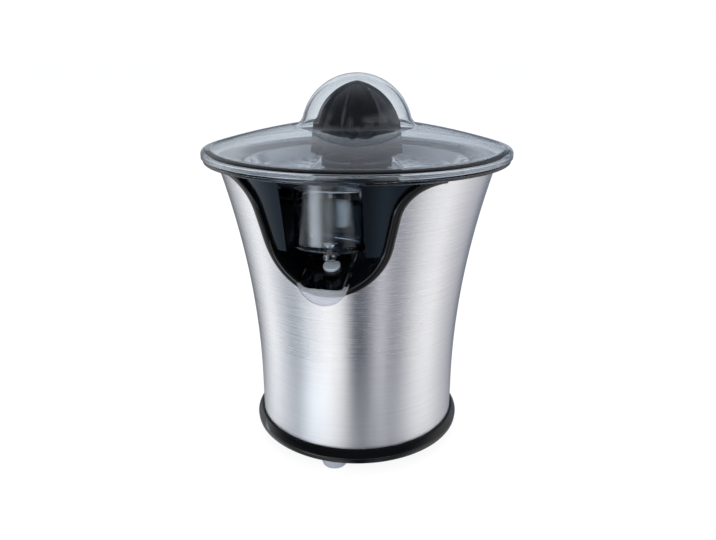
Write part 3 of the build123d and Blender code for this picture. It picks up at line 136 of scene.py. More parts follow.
# Bands of the surroundings: where each starts, is full, begins to fall and stops,
# by height, by share of the way round, or by nearness to the backdrop's middle
OVERHEAD_HEIGHT = (0.06, 0.30)
DARK_SIDE_HEIGHT = (-0.34, -0.30, -0.06, 0.04)
DARK_SIDE_ROUND = (0.49, 0.52, 0.66, 0.70)
DARK_SIDE_SHARE = 0.8
STRIP_HEIGHT = (-0.33, -0.30, -0.18, -0.15)
STRIP_ROUND = (0.350, 0.402, 0.415, 0.462)
PATCH_HEIGHT = (-0.41, -0.385, -0.355, -0.33)
PATCH_ROUND = (0.434, 0.447, 0.453, 0.464)
HORIZON_HEIGHT = (-0.075, -0.05, -0.02, 0.0)
HORIZON_ROUND = (0.20, 0.25, 0.75, 0.80)
FAR_BACK = (0.82, 0.94)
BACKDROP_WAY = (-0.2436, 0.9699)
BACKDROP_TOP = (0.62, 0.46)
SIDE_CARDS = (0.25, 0.40, 0.91, 0.955)
FRONT_CARD = (0.28, 0.33, 0.55, 0.60)
BENT_SHARE = 0.4
world = bpy.data.worlds.new("studio_surround")
scene.world = world
world.use_nodes = True
world.node_tree.nodes.clear()
air = Shade(world.node_tree)
way = air.node("SeparateXYZ", inputs={0: air.node("TexCoord", output="Generated")})
way_y = Shade(world.node_tree, way.socket.node.outputs["Y"])
way_z = Shade(world.node_tree, way.socket.node.outputs["Z"])
around = air.sum("ARCTAN2", way, way_y * -1.0) / (2 * math.pi) + 0.5


def between(value, start, full, fall, stop):
    """1 where a value lies between two bounds, with soft ends, and 0 outside."""
    rising = air.node("MapRange", {"interpolation_type": "SMOOTHSTEP"},
                      {"Value": value, "From Min": start, "From Max": full})
    falling = air.node("MapRange", {"interpolation_type": "SMOOTHSTEP"},
                       {"Value": value, "From Min": fall, "From Max": stop, "To Min": 1.0, "To Max": 0.0})
    return rising * falling


def ramp(value, start, stop):
    """0 to 1 as a value goes from one bound to the other."""
    return air.node("MapRange", inputs={"Value": value, "From Min": start, "From Max": stop})


def blended(share, first, second):
    """The colour that lies a share of the way from one to another."""
    return air.node("Mix", {"data_type": "RGBA"}, {0: share, 6: first, 7: second}, output=2)


surround = air.node("ValToRGB", {"stops": SURROUND_STOPS}, {0: around})
overhead = air.node("ValToRGB", {"stops": OVERHEAD_STOPS}, {0: way_y * 0.5 + 0.5})
above = ramp(way_z, *OVERHEAD_HEIGHT)
surround = blended(above, surround, overhead)
dark_side = between(way_z, *DARK_SIDE_HEIGHT) * between(around, *DARK_SIDE_ROUND)
surround = blended(dark_side * DARK_SIDE_SHARE, surround, BLACK)
strip = between(around, *STRIP_ROUND) * between(way_z, *STRIP_HEIGHT)
patch = between(around, *PATCH_ROUND) * between(way_z, *PATCH_HEIGHT)
horizon = between(way_z, *HORIZON_HEIGHT) * between(around, *HORIZON_ROUND)
strip = air.sum("MAXIMUM", air.sum("MAXIMUM", strip, patch), horizon)
surround = blended(strip, surround, STRIP_LIGHT)
surround = blended(ramp(way_y, *FAR_BACK), surround, DIM_BACK)
light_path = world.node_tree.nodes.new("ShaderNodeLightPath")
seen = {name: Shade(world.node_tree, light_path.outputs[name])
        for name in ("Is Camera Ray", "Is Glossy Ray", "Is Transmission Ray")}
opposite = (way * BACKDROP_WAY[0] + way_y * BACKDROP_WAY[1]) / air.sum("SQRT", 1.0 - way_z * way_z)
cards = air.sum("MAXIMUM", between(opposite, *SIDE_CARDS), between(around, *FRONT_CARD))
behind = (1.0 - cards) * ramp(way_z, *BACKDROP_TOP)
mirrored = air.sum("MAXIMUM", seen["Is Glossy Ray"], seen["Is Transmission Ray"])
plain = air.sum("MAXIMUM", seen["Is Camera Ray"], seen["Is Transmission Ray"] * behind)
bent = seen["Is Transmission Ray"] * (1.0 - above) * BENT_SHARE
surround = blended(bent, surround, BLACK)
sky = blended(mirrored, AMBIENT, surround)
sky = blended(plain, sky, WHITE)
backdrop = air.node("Background", inputs={"Color": sky, "Strength": 1.0})
world_end = world.node_tree.nodes.new("ShaderNodeOutputWorld")
world.node_tree.links.new(backdrop.socket, world_end.inputs["Surface"])


def new_finish(name):
    """A new material, the start of its sums and its main shader's sockets."""
    made = bpy.data.materials.new(name)
    made.use_nodes = True
    return made, Shade(made.node_tree), made.node_tree.nodes["Principled BSDF"].inputs


def set_sockets(sockets, **values):
    """Sets or links sockets by name, with underscores for the spaces in their names."""
    for name, value in values.items():
        socket = sockets[name.replace("_", " ")]
        if isinstance(value, Shade):
            value.tree.links.new(value.socket, socket)
        else:
            socket.default_value = value


FLOOR_HALF = 12.0
FLOOR_SEEN = 0.80
FLOOR_GLOW = 1.12
floor_mesh = bpy.data.meshes.new("floor")
corners = [(-FLOOR_HALF, -FLOOR_HALF, 0), (FLOOR_HALF, -FLOOR_HALF, 0),
           (FLOOR_HALF, FLOOR_HALF, 0), (-FLOOR_HALF, FLOOR_HALF, 0)]
floor_mesh.from_pydata(corners, [], [(0, 1, 2, 3)])
floor = bpy.data.objects.new("floor", floor_mesh)
scene.collection.objects.link(floor)
floor_finish, floor_sum, floor_sockets = new_finish("white_floor")
set_sockets(floor_sockets, Base_Color=(0.86, 0.86, 0.87, 1.0), Roughness=0.9)
floor_tree = floor_finish.node_tree
floor_path = floor_tree.nodes.new("ShaderNodeLightPath")
floor_seen = Shade(floor_tree, floor_path.outputs["Is Camera Ray"]) * FLOOR_SEEN
floor_mirrored = Shade(floor_tree, floor_path.outputs["Is Glossy Ray"])
floor_glow = floor_sum.node("Emission", inputs={"Color": WHITE, "Strength": FLOOR_GLOW})
floor_base = Shade(floor_tree, floor_tree.nodes["Principled BSDF"].outputs[0])
floor_mix = floor_sum.node("MixShader", inputs={0: floor_seen, 1: floor_base, 2: floor_glow})
floor_open = floor_sum.node("BsdfTransparent")
floor_mix = floor_sum.node("MixShader", inputs={0: floor_mirrored, 1: floor_mix, 2: floor_open})
floor_tree.links.new(floor_mix.socket, floor_tree.nodes["Material Output"].inputs["Surface"])
floor_mesh.materials.append(floor_finish)


def soft_light(name, place, aim, width, height, power):
    """A rectangular soft box that looks at a point."""
    lamp = bpy.data.lights.new(name, "AREA")
    lamp.shape = "RECTANGLE"
    lamp.size, lamp.size_y, lamp.energy = width, height, power
    holder = bpy.data.objects.new(name, lamp)
    holder.location = place
    holder.rotation_euler = (Vector(aim) - Vector(place)).to_track_quat("-Z", "Y").to_euler()
    holder.visible_glossy = False
    holder.visible_transmission = False
    scene.collection.objects.link(holder)


soft_light("left_box", (-0.60, -1.05, 0.75), (0, 0, 0.14), 0.6, 1.1, 4.0)
soft_light("right_box", (1.00, -0.80, 0.55), (0, 0, 0.16), 0.5, 0.9, 4.0)
soft_light("top_box", (0.0, 0.15, 1.35), (0, 0, 0.2), 1.1, 0.8, 8.0)

CAMERA_AZIMUTH = 14.1
CAMERA_PITCH = 18.79
CAMERA_REACH = 429.62
CAMERA_HEIGHT = 262.5
camera_data = bpy.data.cameras.new("camera")
camera_data.sensor_width = 36.0
camera_data.lens = 32.53
camera_data.shift_x = 0.00145
camera_data.clip_start = 0.01
camera = bpy.data.objects.new("camera", camera_data)
turn = math.radians(CAMERA_AZIMUTH)
camera.location = (CAMERA_REACH * math.sin(turn) * MM, -CAMERA_REACH * math.cos(turn) * MM,
                   CAMERA_HEIGHT * MM)
camera.rotation_euler = (math.radians(90 - CAMERA_PITCH), 0, turn)
scene.collection.objects.link(camera)
scene.camera = camera


# Rubber feet: three soft pale buttons, moulded round a recess for the screw that holds each one.
# The screws are plated steel and stay as the solids give them.
CORNER_STEPS = 5
TURN_STEPS = 64


def arc(centre, radius, first, last, steps):
    """Points on a circle between two angles in degrees."""
    angles = [math.radians(first + (last - first) * step / steps) for step in range(steps + 1)]
    return [(centre[0] + radius * math.cos(a), centre[1] + radius * math.sin(a)) for a in angles]


def corner(before, at, after, radius):
    """Points that round the corner of a profile."""
    first, second = Vector(before) - Vector(at), Vector(after) - Vector(at)
    half = first.angle(second) / 2
    reach = radius / math.tan(half)
    start, stop = Vector(at) + first.normalized() * reach, Vector(at) + second.normalized() * reach
    middle = Vector(at) + (first.normalized() + second.normalized()).normalized() * (radius / math.sin(half))
    sweep = (start - middle).angle(stop - middle)
    points = []
    for step in range(CORNER_STEPS + 1):
        share = step / CORNER_STEPS
        from_start = (start - middle) * math.sin((1 - share) * sweep)
        way_there = from_start + (stop - middle) * math.sin(share * sweep)
        points.append(tuple(middle + way_there / math.sin(sweep)))
    return points


def rounded(profile, radii):
    """A profile of points with its numbered corners rounded."""
    result = []
    for index, point in enumerate(profile):
        if index in radii:
            after = profile[(index + 1) % len(profile)]
            result += corner(profile[index - 1], point, after, radii[index])
        else:
            result.append(point)
    return result


def piece_from(name, bm, sharp=35.0):
    """A smooth-shaded piece from a mesh in millimetres; edges steeper than sharp stay crisp."""
    bmesh.ops.recalc_face_normals(bm, faces=bm.faces)
    for vertex in bm.verts:
        vertex.co *= MM
    mesh = bpy.data.meshes.new(name)
    bm.to_mesh(mesh)
    bm.free()
    mesh.polygons.foreach_set("use_smooth", [True] * len(mesh.polygons))
    mesh.set_sharp_from_angle(angle=math.radians(sharp))
    made = bpy.data.objects.new(name, mesh)
    scene.collection.objects.link(made)
    return made


def turned(bm, profile, centre=(0.0, 0.0), steps=TURN_STEPS, closed=True):
    """Turns a profile of (radius, height) points about an upright axis."""
    rings = []
    for radius, height in profile:
        if radius < 1e-6:
            rings.append([bm.verts.new((centre[0], centre[1], height))])
            continue
        angles = [2 * math.pi * step / steps for step in range(steps)]
        points = [(centre[0] + radius * math.cos(a), centre[1] + radius * math.sin(a)) for a in angles]
        rings.append([bm.verts.new((*point, height)) for point in points])
    pairs = list(zip(rings, rings[1:]))
    if closed:
        pairs.append((rings[-1], rings[0]))
    for lower, upper in pairs:
        if len(lower) == 1 and len(upper) == 1:
            continue
        for step in range(steps):
            after = (step + 1) % steps
            if len(lower) == 1:
                bm.faces.new((lower[0], upper[after], upper[step]))
            elif len(upper) == 1:
                bm.faces.new((lower[step], lower[after], upper[0]))
            else:
                bm.faces.new((lower[step], lower[after], upper[after], upper[step]))


def dressed(piece, material, body, node):
    """Gives a new piece its material and the body it moves with, and hides the solid it stands for."""
    piece.data.materials.append(material)
    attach(piece, body)
    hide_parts(node)


def kept(material, *nodes):
    """Gives solids that are shown as they are their material."""
    for name in nodes:
        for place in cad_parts[name].material_slots:
            place.material = material


def mottled(value, dark, pale, start=0.3, stop=0.7):
    """A colour that goes from dark to pale with a shader value."""
    return value.node("ValToRGB", {"stops": [(start, dark), (stop, pale)]}, {0: value})


FOOT_REACH = 60.8
FOOT_HEIGHT = 7.4
FOOT_RADIUS = 10.0
SOLE_RADIUS = 7.8
RECESS_RADIUS = 4.2
RECESS_DEPTH = 4.0
FOOT_HOLE = 2.2
foot_profile = [(FOOT_HOLE, RECESS_DEPTH), (RECESS_RADIUS, RECESS_DEPTH), (RECESS_RADIUS, 0.0),
                (SOLE_RADIUS, 0.0), (FOOT_RADIUS, FOOT_HEIGHT), (FOOT_HOLE, FOOT_HEIGHT)]
foot_profile = rounded(foot_profile, {2: 0.5, 3: 1.2, 4: 0.5})
feet_mesh = bmesh.new()
for foot_angle in (-90, 30, 150):
    foot_turn = math.radians(foot_angle)
    turned(feet_mesh, foot_profile, (FOOT_REACH * math.cos(foot_turn), FOOT_REACH * math.sin(foot_turn)))
feet = piece_from("feet", feet_mesh)
foot_rubber, mix, rubber = new_finish("pale_rubber")
bloom = mix.node("TexNoise", inputs={"Scale": 900.0, "Detail": 4.0})
set_sockets(rubber, Roughness=0.42 + bloom * 0.2, Subsurface_Weight=0.25,
            Subsurface_Radius=(0.004, 0.004, 0.005),
            Base_Color=mottled(bloom, (0.40, 0.44, 0.50), (0.50, 0.54, 0.60)))
dressed(feet, foot_rubber, "housing", "rubber_feet")

plated_steel, mix, plated = new_finish("plated_steel")
plating = mix.node("TexNoise", inputs={"Scale": 400.0, "Detail": 6.0})
set_sockets(plated, Metallic=1.0, Roughness=0.25 + plating * 0.2,
            Base_Color=mottled(plating, (0.55, 0.55, 0.57), (0.70, 0.71, 0.73), 0.2, 0.8))
kept(plated_steel, "foot_screws", "gearbox_screws", "motor_screws", "bracket_screws", "switch_screws",
     "board_screws", "idler_pin", "drive_pin", "drive_shaft", "motor_shaft")


# Base plate: a moulded cover with cooling slots, screwed up against the columns through the feet.
# Its plastic has a fine spark-eroded grain.
grained_black, mix, grained = new_finish("grained_black")
grain = mix.node("TexNoise", inputs={"Scale": 1600.0, "Detail": 3.0})
set_sockets(grained, Roughness=0.45 + grain * 0.2,
            Normal=mix.node("Bump", inputs={"Strength": 0.25, "Distance": 0.0004, "Height": grain}),
            Base_Color=mottled(grain, (0.014, 0.014, 0.016), (0.026, 0.026, 0.028)))
kept(grained_black, "base_plate", "switch_button")


# Base ring: a glossy black moulding, rounded outside, that takes the steel's lower edge in a groove.
# Light runs round it as one thin line.
RING_RADIUS = 73.1
RING_INNER = 66.5
RING_BOTTOM = 7.7
RING_TOP = 16.5
RING_GROOVE = 11.7
ring_profile = [(RING_INNER, RING_BOTTOM), (72.6, RING_BOTTOM), (RING_RADIUS, 11.4), (70.2, RING_TOP),
                (68.9, RING_TOP), (68.9, RING_GROOVE), (67.3, RING_GROOVE), (67.3, RING_TOP),
                (RING_INNER, RING_TOP), (RING_INNER, 13.0), (65.0, 13.0), (65.0, 11.0), (RING_INNER, 11.0)]
ring_profile = rounded(ring_profile, {1: 1.6, 2: 2.6, 3: 0.8})
ring_mesh = bmesh.new()
turned(ring_mesh, ring_profile, steps=256)
ring = piece_from("ring", ring_mesh, 50.0)
gloss_black, mix, gloss = new_finish("gloss_black")
haze = mix.node("TexNoise", inputs={"Scale": 60.0, "Detail": 8.0, "Roughness": 0.7})
set_sockets(gloss, Roughness=0.05 + haze * 0.06, Specular_IOR_Level=0.3,
            Base_Color=mottled(haze, (0.0015, 0.0015, 0.002), (0.003, 0.003, 0.0035)))
dressed(ring, gloss_black, "housing", "base_ring")


# Steel housing: one sheet rolled round and flared upwards, with a rounded cut-out for the spout at the front.
# It is brushed round its axis, so highlights run up and down it.
BODY_RADIUS = 68.6
FLARE_START = 40.0
FLARE_RADIUS = 553.0
STEEL_BOTTOM = 12.0
STEEL_TOP = 194.4
STEEL_THICK = 1.0
NOTCH_BOTTOM = 125.3
NOTCH_RADIUS = 39.5
MOUTH_X = 67.3
MOUTH_RADIUS = 25.3
MOUTH_TOP = 193.5
LOW_STEPS, SIDE_STEPS, MOUTH_STEPS = 28, 8, 26


def wall_radius(height, offset=0.0):
    """Radius of the housing's surface at a height, moved outwards by an offset."""
    rise = max(height - FLARE_START, 0.0)
    return BODY_RADIUS + FLARE_RADIUS - math.sqrt((FLARE_RADIUS - offset) ** 2 - rise**2)


def notch_line(margin):
    """Right half of the cut-out seen from the front, from its lowest point up to the housing's top edge."""
    low, mouth = Vector((0.0, NOTCH_BOTTOM + NOTCH_RADIUS)), Vector((MOUTH_X, MOUTH_TOP - MOUTH_RADIUS))
    low_radius, mouth_radius = NOTCH_RADIUS - margin, MOUTH_RADIUS + margin
    lean = math.acos((low_radius + mouth_radius) / (mouth - low).length)
    tangent = math.degrees(math.atan2(mouth.y - low.y, mouth.x - low.x) - lean)
    first = arc(low, low_radius, -90, tangent, LOW_STEPS)
    last = arc(mouth, mouth_radius, tangent + 180, 90, MOUTH_STEPS)
    start, stop = Vector(first[-1]), Vector(last[0])
    side = [tuple(start.lerp(stop, step / SIDE_STEPS)) for step in range(1, SIDE_STEPS)]
    return [(x, min(z, STEEL_TOP)) for x, z in first + side + last]


edge = notch_line(0.0)
edge_angles = [(math.asin(x / wall_radius(z)), z) for x, z in edge]
edge_angles.append((edge_angles[-1][0] + 0.0005, STEEL_TOP))
rest_start = edge_angles[-1][0]
REST_STEPS = 150
columns = edge_angles + [(rest_start + (2 * math.pi - 2 * rest_start) * step / REST_STEPS, STEEL_TOP)
                         for step in range(1, REST_STEPS)]
columns += [(2 * math.pi - angle, z) for angle, z in reversed(edge_angles[1:])]
STEEL_ROWS = 56
steel_mesh = bmesh.new()
sheets = []
for offset in (0.0, -STEEL_THICK):
    sheet = []
    for angle, top in columns:
        column = []
        for row in range(STEEL_ROWS + 1):
            z = STEEL_BOTTOM + (top - STEEL_BOTTOM) * row / STEEL_ROWS
            radius = wall_radius(z, offset)
            column.append(steel_mesh.verts.new((radius * math.sin(angle), -radius * math.cos(angle), z)))
        sheet.append(column)
    sheets.append(sheet)
for index in range(len(columns)):
    after = (index + 1) % len(columns)
    for sheet in sheets:
        for row in range(STEEL_ROWS):
            steel_mesh.faces.new((sheet[index][row], sheet[after][row],
                                  sheet[after][row + 1], sheet[index][row + 1]))
    for row in (0, STEEL_ROWS):
        steel_mesh.faces.new((sheets[0][index][row], sheets[0][after][row], sheets[1][after][row],
                              sheets[1][index][row]))
steel = piece_from("steel_sheet", steel_mesh)


CARVED_SHARP = 40.0


def carve(piece, tool, operation):
    """Joins a body to a piece or cuts it out, and keeps the result as the piece's own mesh."""
    if isinstance(tool, bmesh.types.BMesh):
        tool = piece_from("tool", tool)
    cut = piece.modifiers.new("cut", "BOOLEAN")
    cut.operation, cut.solver, cut.object = operation, "EXACT", tool
    shaped = bpy.data.meshes.new_from_object(piece.evaluated_get(bpy.context.evaluated_depsgraph_get()))
    piece.modifiers.clear()
    piece.data = shaped
    bpy.data.objects.remove(tool)
    shaped.polygons.foreach_set("use_smooth", [True] * len(shaped.polygons))
    shaped.set_sharp_from_angle(angle=math.radians(CARVED_SHARP))


def prism(outline, ends):
    """A closed body between two or more copies of an outline, each placed by a function of its points."""
    bm = bmesh.new()
    rings = [[bm.verts.new(place_point(*point)) for point in outline] for place_point in ends]
    for first, second in zip(rings, rings[1:]):
        for index in range(len(outline)):
            after = (index + 1) % len(outline)
            bm.faces.new((first[index], first[after], second[after], second[index]))
    bm.faces.new(rings[0])
    bm.faces.new(rings[-1])
    return bm


def circle(centre, radius):
    """A whole circle of 48 points."""
    return arc(centre, radius, 0, 352.5, 47)


CORD_HOLE = 6.1
CORD_HEIGHT = 26.0
HOLE_START, HOLE_END = 60.0, 80.0
hole_ends = [lambda x, z: (x, HOLE_START, z), lambda x, z: (x, HOLE_END, z)]
carve(steel, prism(circle((0, CORD_HEIGHT), CORD_HOLE), hole_ends), "DIFFERENCE")
brushed_steel, mix, brushed = new_finish("brushed_steel")
place = mix.node("TexCoord", output="Object")
along = mix.node("Mapping", inputs={"Vector": place, "Scale": (14.0, 14.0, 2600.0)})
fine = mix.node("TexNoise", inputs={"Vector": along, "Scale": 1.0, "Detail": 5.0, "Roughness": 0.75})
wide_lines = mix.node("Mapping", inputs={"Vector": place, "Scale": (6.0, 6.0, 520.0)})
coarse = mix.node("TexNoise", inputs={"Vector": wide_lines, "Scale": 1.0, "Detail": 3.0})
strokes = fine * 0.9 + coarse * 0.1
height = Shade(brushed_steel.node_tree, mix.node("SeparateXYZ", inputs={0: place}).socket.node.outputs["Z"])
worn = mix.node("MapRange", inputs={"Value": height, "From Min": 0.085, "From Max": 0.015})
set_sockets(brushed, Metallic=1.0, Anisotropic=0.75, Anisotropic_Rotation=0.25,
            Roughness=0.16 + strokes * 0.20 + worn * 0.20,
            Normal=mix.node("Bump", inputs={"Strength": 0.18, "Distance": 0.00004, "Height": strokes}),
            Base_Color=mottled(strokes, (0.61, 0.61, 0.625), (0.765, 0.765, 0.77)))
dressed(steel, brushed_steel, "housing", "steel_housing")


# Cord inlet: a black rubber bush with a flange each side of the steel, at the back near the base.
# It is pushed into a hole in the sheet, and kept as the solid gives it.
soft_black, mix, soft = new_finish("soft_black_rubber")
dust = mix.node("TexNoise", inputs={"Scale": 700.0, "Detail": 5.0})
set_sockets(soft, Roughness=0.55 + dust * 0.25,
            Base_Color=mottled(dust, (0.018, 0.018, 0.018), (0.034, 0.034, 0.034)))
kept(soft_black, "cord_inlet", "shaft_seal")


# Edge trim: a glossy black bead round the cut-out that covers the steel's edge.
# It is one moulding, rounded over its front and snapped on to the sheet.
TRIM_WIDTH = 4.0
TRIM_PROUD = 1.4
TRIM_OVERLAP = 0.9
TRIM_BACK = -1.0
trim_section = [(-TRIM_OVERLAP, 0.12), (-TRIM_OVERLAP, TRIM_PROUD), (TRIM_WIDTH, TRIM_PROUD),
                (TRIM_WIDTH, TRIM_BACK), (0.12, TRIM_BACK), (0.12, 0.12)]
trim_section = rounded(trim_section, {1: 1.1, 2: 2.2})
trim_mesh = bmesh.new()
trim_rings = []
trim_lines = {margin: notch_line(margin) for margin, depth in trim_section}
for side in (-1, 1):
    count = len(trim_lines[TRIM_WIDTH])
    order = range(count - 1, 0, -1) if side < 0 else range(count)
    for index in order:
        ring_verts = []
        for margin, depth in trim_section:
            x, z = trim_lines[margin][index]
            radius = wall_radius(z, depth)
            ring_verts.append(trim_mesh.verts.new((side * x, -math.sqrt(radius**2 - x**2), z)))
        trim_rings.append(ring_verts)
for first, second in zip(trim_rings, trim_rings[1:]):
    for index in range(len(trim_section)):
        after = (index + 1) % len(trim_section)
        trim_mesh.faces.new((first[index], first[after], second[after], second[index]))
trim_mesh.faces.new(trim_rings[0])
trim_mesh.faces.new(trim_rings[-1])
trim = piece_from("trim", trim_mesh, 50.0)
dressed(trim, gloss_black, "housing", "edge_trim")


# Inner housing: the black moulding inside the steel, with the tub for the bowl and the pocket for the spout.
# It is kept as the solid gives it, in a satin black with a painted blue tint on its reflections.
satin_black, mix, satin = new_finish("satin_black")
sheen = mix.node("TexNoise", inputs={"Scale": 900.0, "Detail": 4.0})
set_sockets(satin, Roughness=0.14 + sheen * 0.08, Specular_IOR_Level=0.4,
            # painted reflection tint: blue on the reflections, standing in for the bluish light on the walls
            # of the cut-out
            Specular_Tint=(0.55, 0.78, 1.0, 1.0),
            Base_Color=mottled(sheen, (0.0015, 0.002, 0.003), (0.003, 0.004, 0.005)))
kept(satin_black, "upper_housing")


# Motor: a drawn steel can with ferrite magnets, a wound core on its shaft and brushes on a card.
# It hangs under the gearbox on two screws, out of sight.
plain_finishes = {
    "zinc_can": (1.0, 0.30, (0.50, 0.51, 0.52), (0.62, 0.63, 0.64), ("motor_can",)),
    "ferrite": (0.0, 0.60, (0.08, 0.08, 0.085), (0.13, 0.13, 0.14), ("motor_magnets",)),
    "core_sheet": (1.0, 0.45, (0.24, 0.24, 0.25), (0.36, 0.36, 0.37), ("armature_core",)),
    "copper_wire": (1.0, 0.35, (0.52, 0.22, 0.10), (0.70, 0.36, 0.20), ("armature_windings", "commutator")),
    "carbon": (0.0, 0.55, (0.03, 0.03, 0.03), (0.06, 0.06, 0.06), ("brushes",)),
    "sintered_bronze": (1.0, 0.42, (0.48, 0.33, 0.15), (0.64, 0.47, 0.25),
                        ("motor_bearings", "shaft_bushes")),
    "gear_plastic": (0.0, 0.38, (0.74, 0.72, 0.66), (0.84, 0.82, 0.76),
                     ("motor_pinion", "idler_gear", "output_gear", "switch_plunger")),
    "filled_nylon": (0.0, 0.50, (0.07, 0.07, 0.08), (0.12, 0.12, 0.13),
                     ("gearbox_tray", "gearbox_cover", "end_bell", "switch_bracket")),
    "board_laminate": (0.0, 0.40, (0.03, 0.20, 0.07), (0.06, 0.28, 0.11), ("rectifier_board",)),
    "grey_resin": (0.0, 0.45, (0.14, 0.16, 0.20), (0.22, 0.24, 0.28),
                   ("board_components", "brush_card", "switch_body")),
}
for name, (metal, rough, dark, pale, nodes) in plain_finishes.items():
    made, mix, sockets = new_finish(name)
    cloud = mix.node("TexNoise", inputs={"Scale": 300.0, "Detail": 6.0})
    set_sockets(sockets, Metallic=metal, Roughness=rough - 0.08 + cloud * 0.16,
                Base_Color=mottled(cloud, dark, pale))
    kept(made, *nodes)


# Return spring: a coil of spring wire under the switch plunger, standing on the bracket's floor.
# It shortens as the plunger is pressed down on it; the copy here keeps one length and moves with the housing.
spring_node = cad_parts["return_spring"]
coil = bpy.data.objects.new("coil", spring_node.data.copy())
coil.matrix_world = spring_node.matrix_world
scene.collection.objects.link(coil)
coil.data.materials.clear()
dressed(coil, plated_steel, "housing", "return_spring")
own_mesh(coil)


# Juice bowl: one clear moulding that hangs in the tub by its flange, with a hub round the shaft.
# Its oval chute and nozzle stand in the cut-out, and two ears carry the spout.
FLANGE_BOTTOM = 195.5
FLANGE_TOP = 198.4
RIM_RADIUS = 99.59
BOWL_FLOOR_TOP = 179.2
BOWL_FLOOR_BOTTOM = 177.0
RIB_TOP = 200.4
LEDGE_TOP = 191.6
HUB_TOP = 195.0
HUB_UNDER = 192.8
CHUTE_BOTTOM = 152.46
CHUTE_REACH = 66.3
PIVOT_REACH = 52.0
PIVOT_HEIGHT = 147.957
BOWL_STEPS = 240
bowl_profile = [
    (RIM_RADIUS, FLANGE_BOTTOM), (RIM_RADIUS, FLANGE_TOP),
    (98.49, FLANGE_TOP), (98.49, RIB_TOP), (96.29, RIB_TOP), (96.29, FLANGE_TOP),
    (79.76, FLANGE_TOP), (74.56, 193.2), (74.56, LEDGE_TOP), (71.16, LEDGE_TOP), (70.56, BOWL_FLOOR_TOP),
    (23.4, BOWL_FLOOR_TOP), (23.4, HUB_TOP), (7.0, HUB_TOP), (7.0, HUB_UNDER), (21.2, HUB_UNDER),
    (21.2, BOWL_FLOOR_BOTTOM), (71.66, BOWL_FLOOR_BOTTOM), (73.36, 187.2), (76.76, 190.5),
    (81.96, FLANGE_BOTTOM),
]
bowl_profile = rounded(bowl_profile, {0: 1.1, 1: 1.1, 3: 0.5, 4: 0.5, 6: 1.5, 7: 0.6, 8: 0.5, 9: 0.5, 10: 1.5,
                                      11: 1.0, 12: 1.4, 15: 0.6, 17: 2.0, 18: 1.2, 19: 1.5, 20: 1.5})
bowl_mesh = bmesh.new()
turned(bowl_mesh, bowl_profile, steps=BOWL_STEPS)
bowl = piece_from("bowl", bowl_mesh, 40.0)


OVAL_STEPS = 96


def oval(bm, centre_y, half_width, half_depth, levels):
    """A closed upright body with an oval outline; levels are (height, growth) from the bottom up."""
    rings = []
    for height, growth in levels:
        angles = [2 * math.pi * step / OVAL_STEPS for step in range(OVAL_STEPS)]
        rings.append([bm.verts.new(((half_width + growth) * math.cos(a),
                                    centre_y + (half_depth + growth) * math.sin(a), height)) for a in angles])
    for lower, upper in zip(rings, rings[1:]):
        for step in range(OVAL_STEPS):
            after = (step + 1) % OVAL_STEPS
            bm.faces.new((lower[step], lower[after], upper[after], upper[step]))
    bm.faces.new(rings[0])
    bm.faces.new(rings[-1])


CHUTE_OUTSIDE = (21.5, 12.7)
CHUTE_INSIDE = (19.3, 10.5)
CHUTE_ROWS, CHUTE_ROW = 6, 6.0
SUNK = 1.1
chute_mesh = bmesh.new()
chute_levels = [(CHUTE_BOTTOM - 3.0, -7.0), (CHUTE_BOTTOM - 2.4, -4.6), (CHUTE_BOTTOM - 1.4, -2.0),
                (CHUTE_BOTTOM - 0.2, 0.2), (CHUTE_BOTTOM + 0.4, 0.9), (CHUTE_BOTTOM + 1.0, 1.0),
                (CHUTE_BOTTOM + 1.6, 0.9), (CHUTE_BOTTOM + 2.0, 0.5), (CHUTE_BOTTOM + 2.6, 0.0)]
chute_levels += [(CHUTE_BOTTOM + 3.2 + CHUTE_ROW * step, 0.0) for step in range(CHUTE_ROWS)]
chute_levels.append((FLANGE_BOTTOM + SUNK, 0.0))
oval(chute_mesh, -CHUTE_REACH, *CHUTE_OUTSIDE, chute_levels)
bowl_room = [(0, BOWL_FLOOR_TOP), (71.66, BOWL_FLOOR_TOP), (72.26, 189.4), (75.66, 190.5),
             (80.86, FLANGE_BOTTOM), (80.86, FLANGE_TOP), (0, FLANGE_TOP)]
room_mesh = bmesh.new()
turned(room_mesh, bowl_room, steps=BOWL_STEPS, closed=False)
chute = piece_from("chute", chute_mesh)
carve(chute, room_mesh, "DIFFERENCE")
carve(bowl, chute, "UNION")
EAR_INNER = 16.4
EAR_THICK = 2.2
EAR_RADIUS = 3.4
for side in (-1, 1):
    ear_line = arc((-PIVOT_REACH, PIVOT_HEIGHT), EAR_RADIUS, 180, 360, 20)
    ear_top = BOWL_FLOOR_BOTTOM + SUNK
    ear_line += [(-PIVOT_REACH + EAR_RADIUS, ear_top), (-CHUTE_REACH, ear_top),
                 (-CHUTE_REACH, CHUTE_BOTTOM + 1.0), (-PIVOT_REACH - EAR_RADIUS, CHUTE_BOTTOM + 1.0)]
    ear_ends = [lambda y, z: (side * EAR_INNER, y, z), lambda y, z: (side * (EAR_INNER + EAR_THICK), y, z)]
    carve(bowl, prism(ear_line, ear_ends), "UNION")
chute_room = bmesh.new()
oval(chute_room, -CHUTE_REACH, *CHUTE_INSIDE,
     [(CHUTE_BOTTOM + 2.2, -1.0), (CHUTE_BOTTOM + 3.2, 0.0), (187.2, 0.0)])
carve(bowl, chute_room, "DIFFERENCE")
NOZZLE_REACH = 64.5
NOZZLE_BOTTOM = 144.66
NOZZLE_RADIUS = 6.2
BORE_RADIUS = 4.5
nozzle_mesh = bmesh.new()
nozzle_profile = [(0, NOZZLE_BOTTOM), (5.8, NOZZLE_BOTTOM), (NOZZLE_RADIUS, NOZZLE_BOTTOM + 0.4),
                  (NOZZLE_RADIUS, CHUTE_BOTTOM + 1.0), (0, CHUTE_BOTTOM + 1.0)]
turned(nozzle_mesh, nozzle_profile, (0, -NOZZLE_REACH), closed=False)
carve(bowl, nozzle_mesh, "UNION")
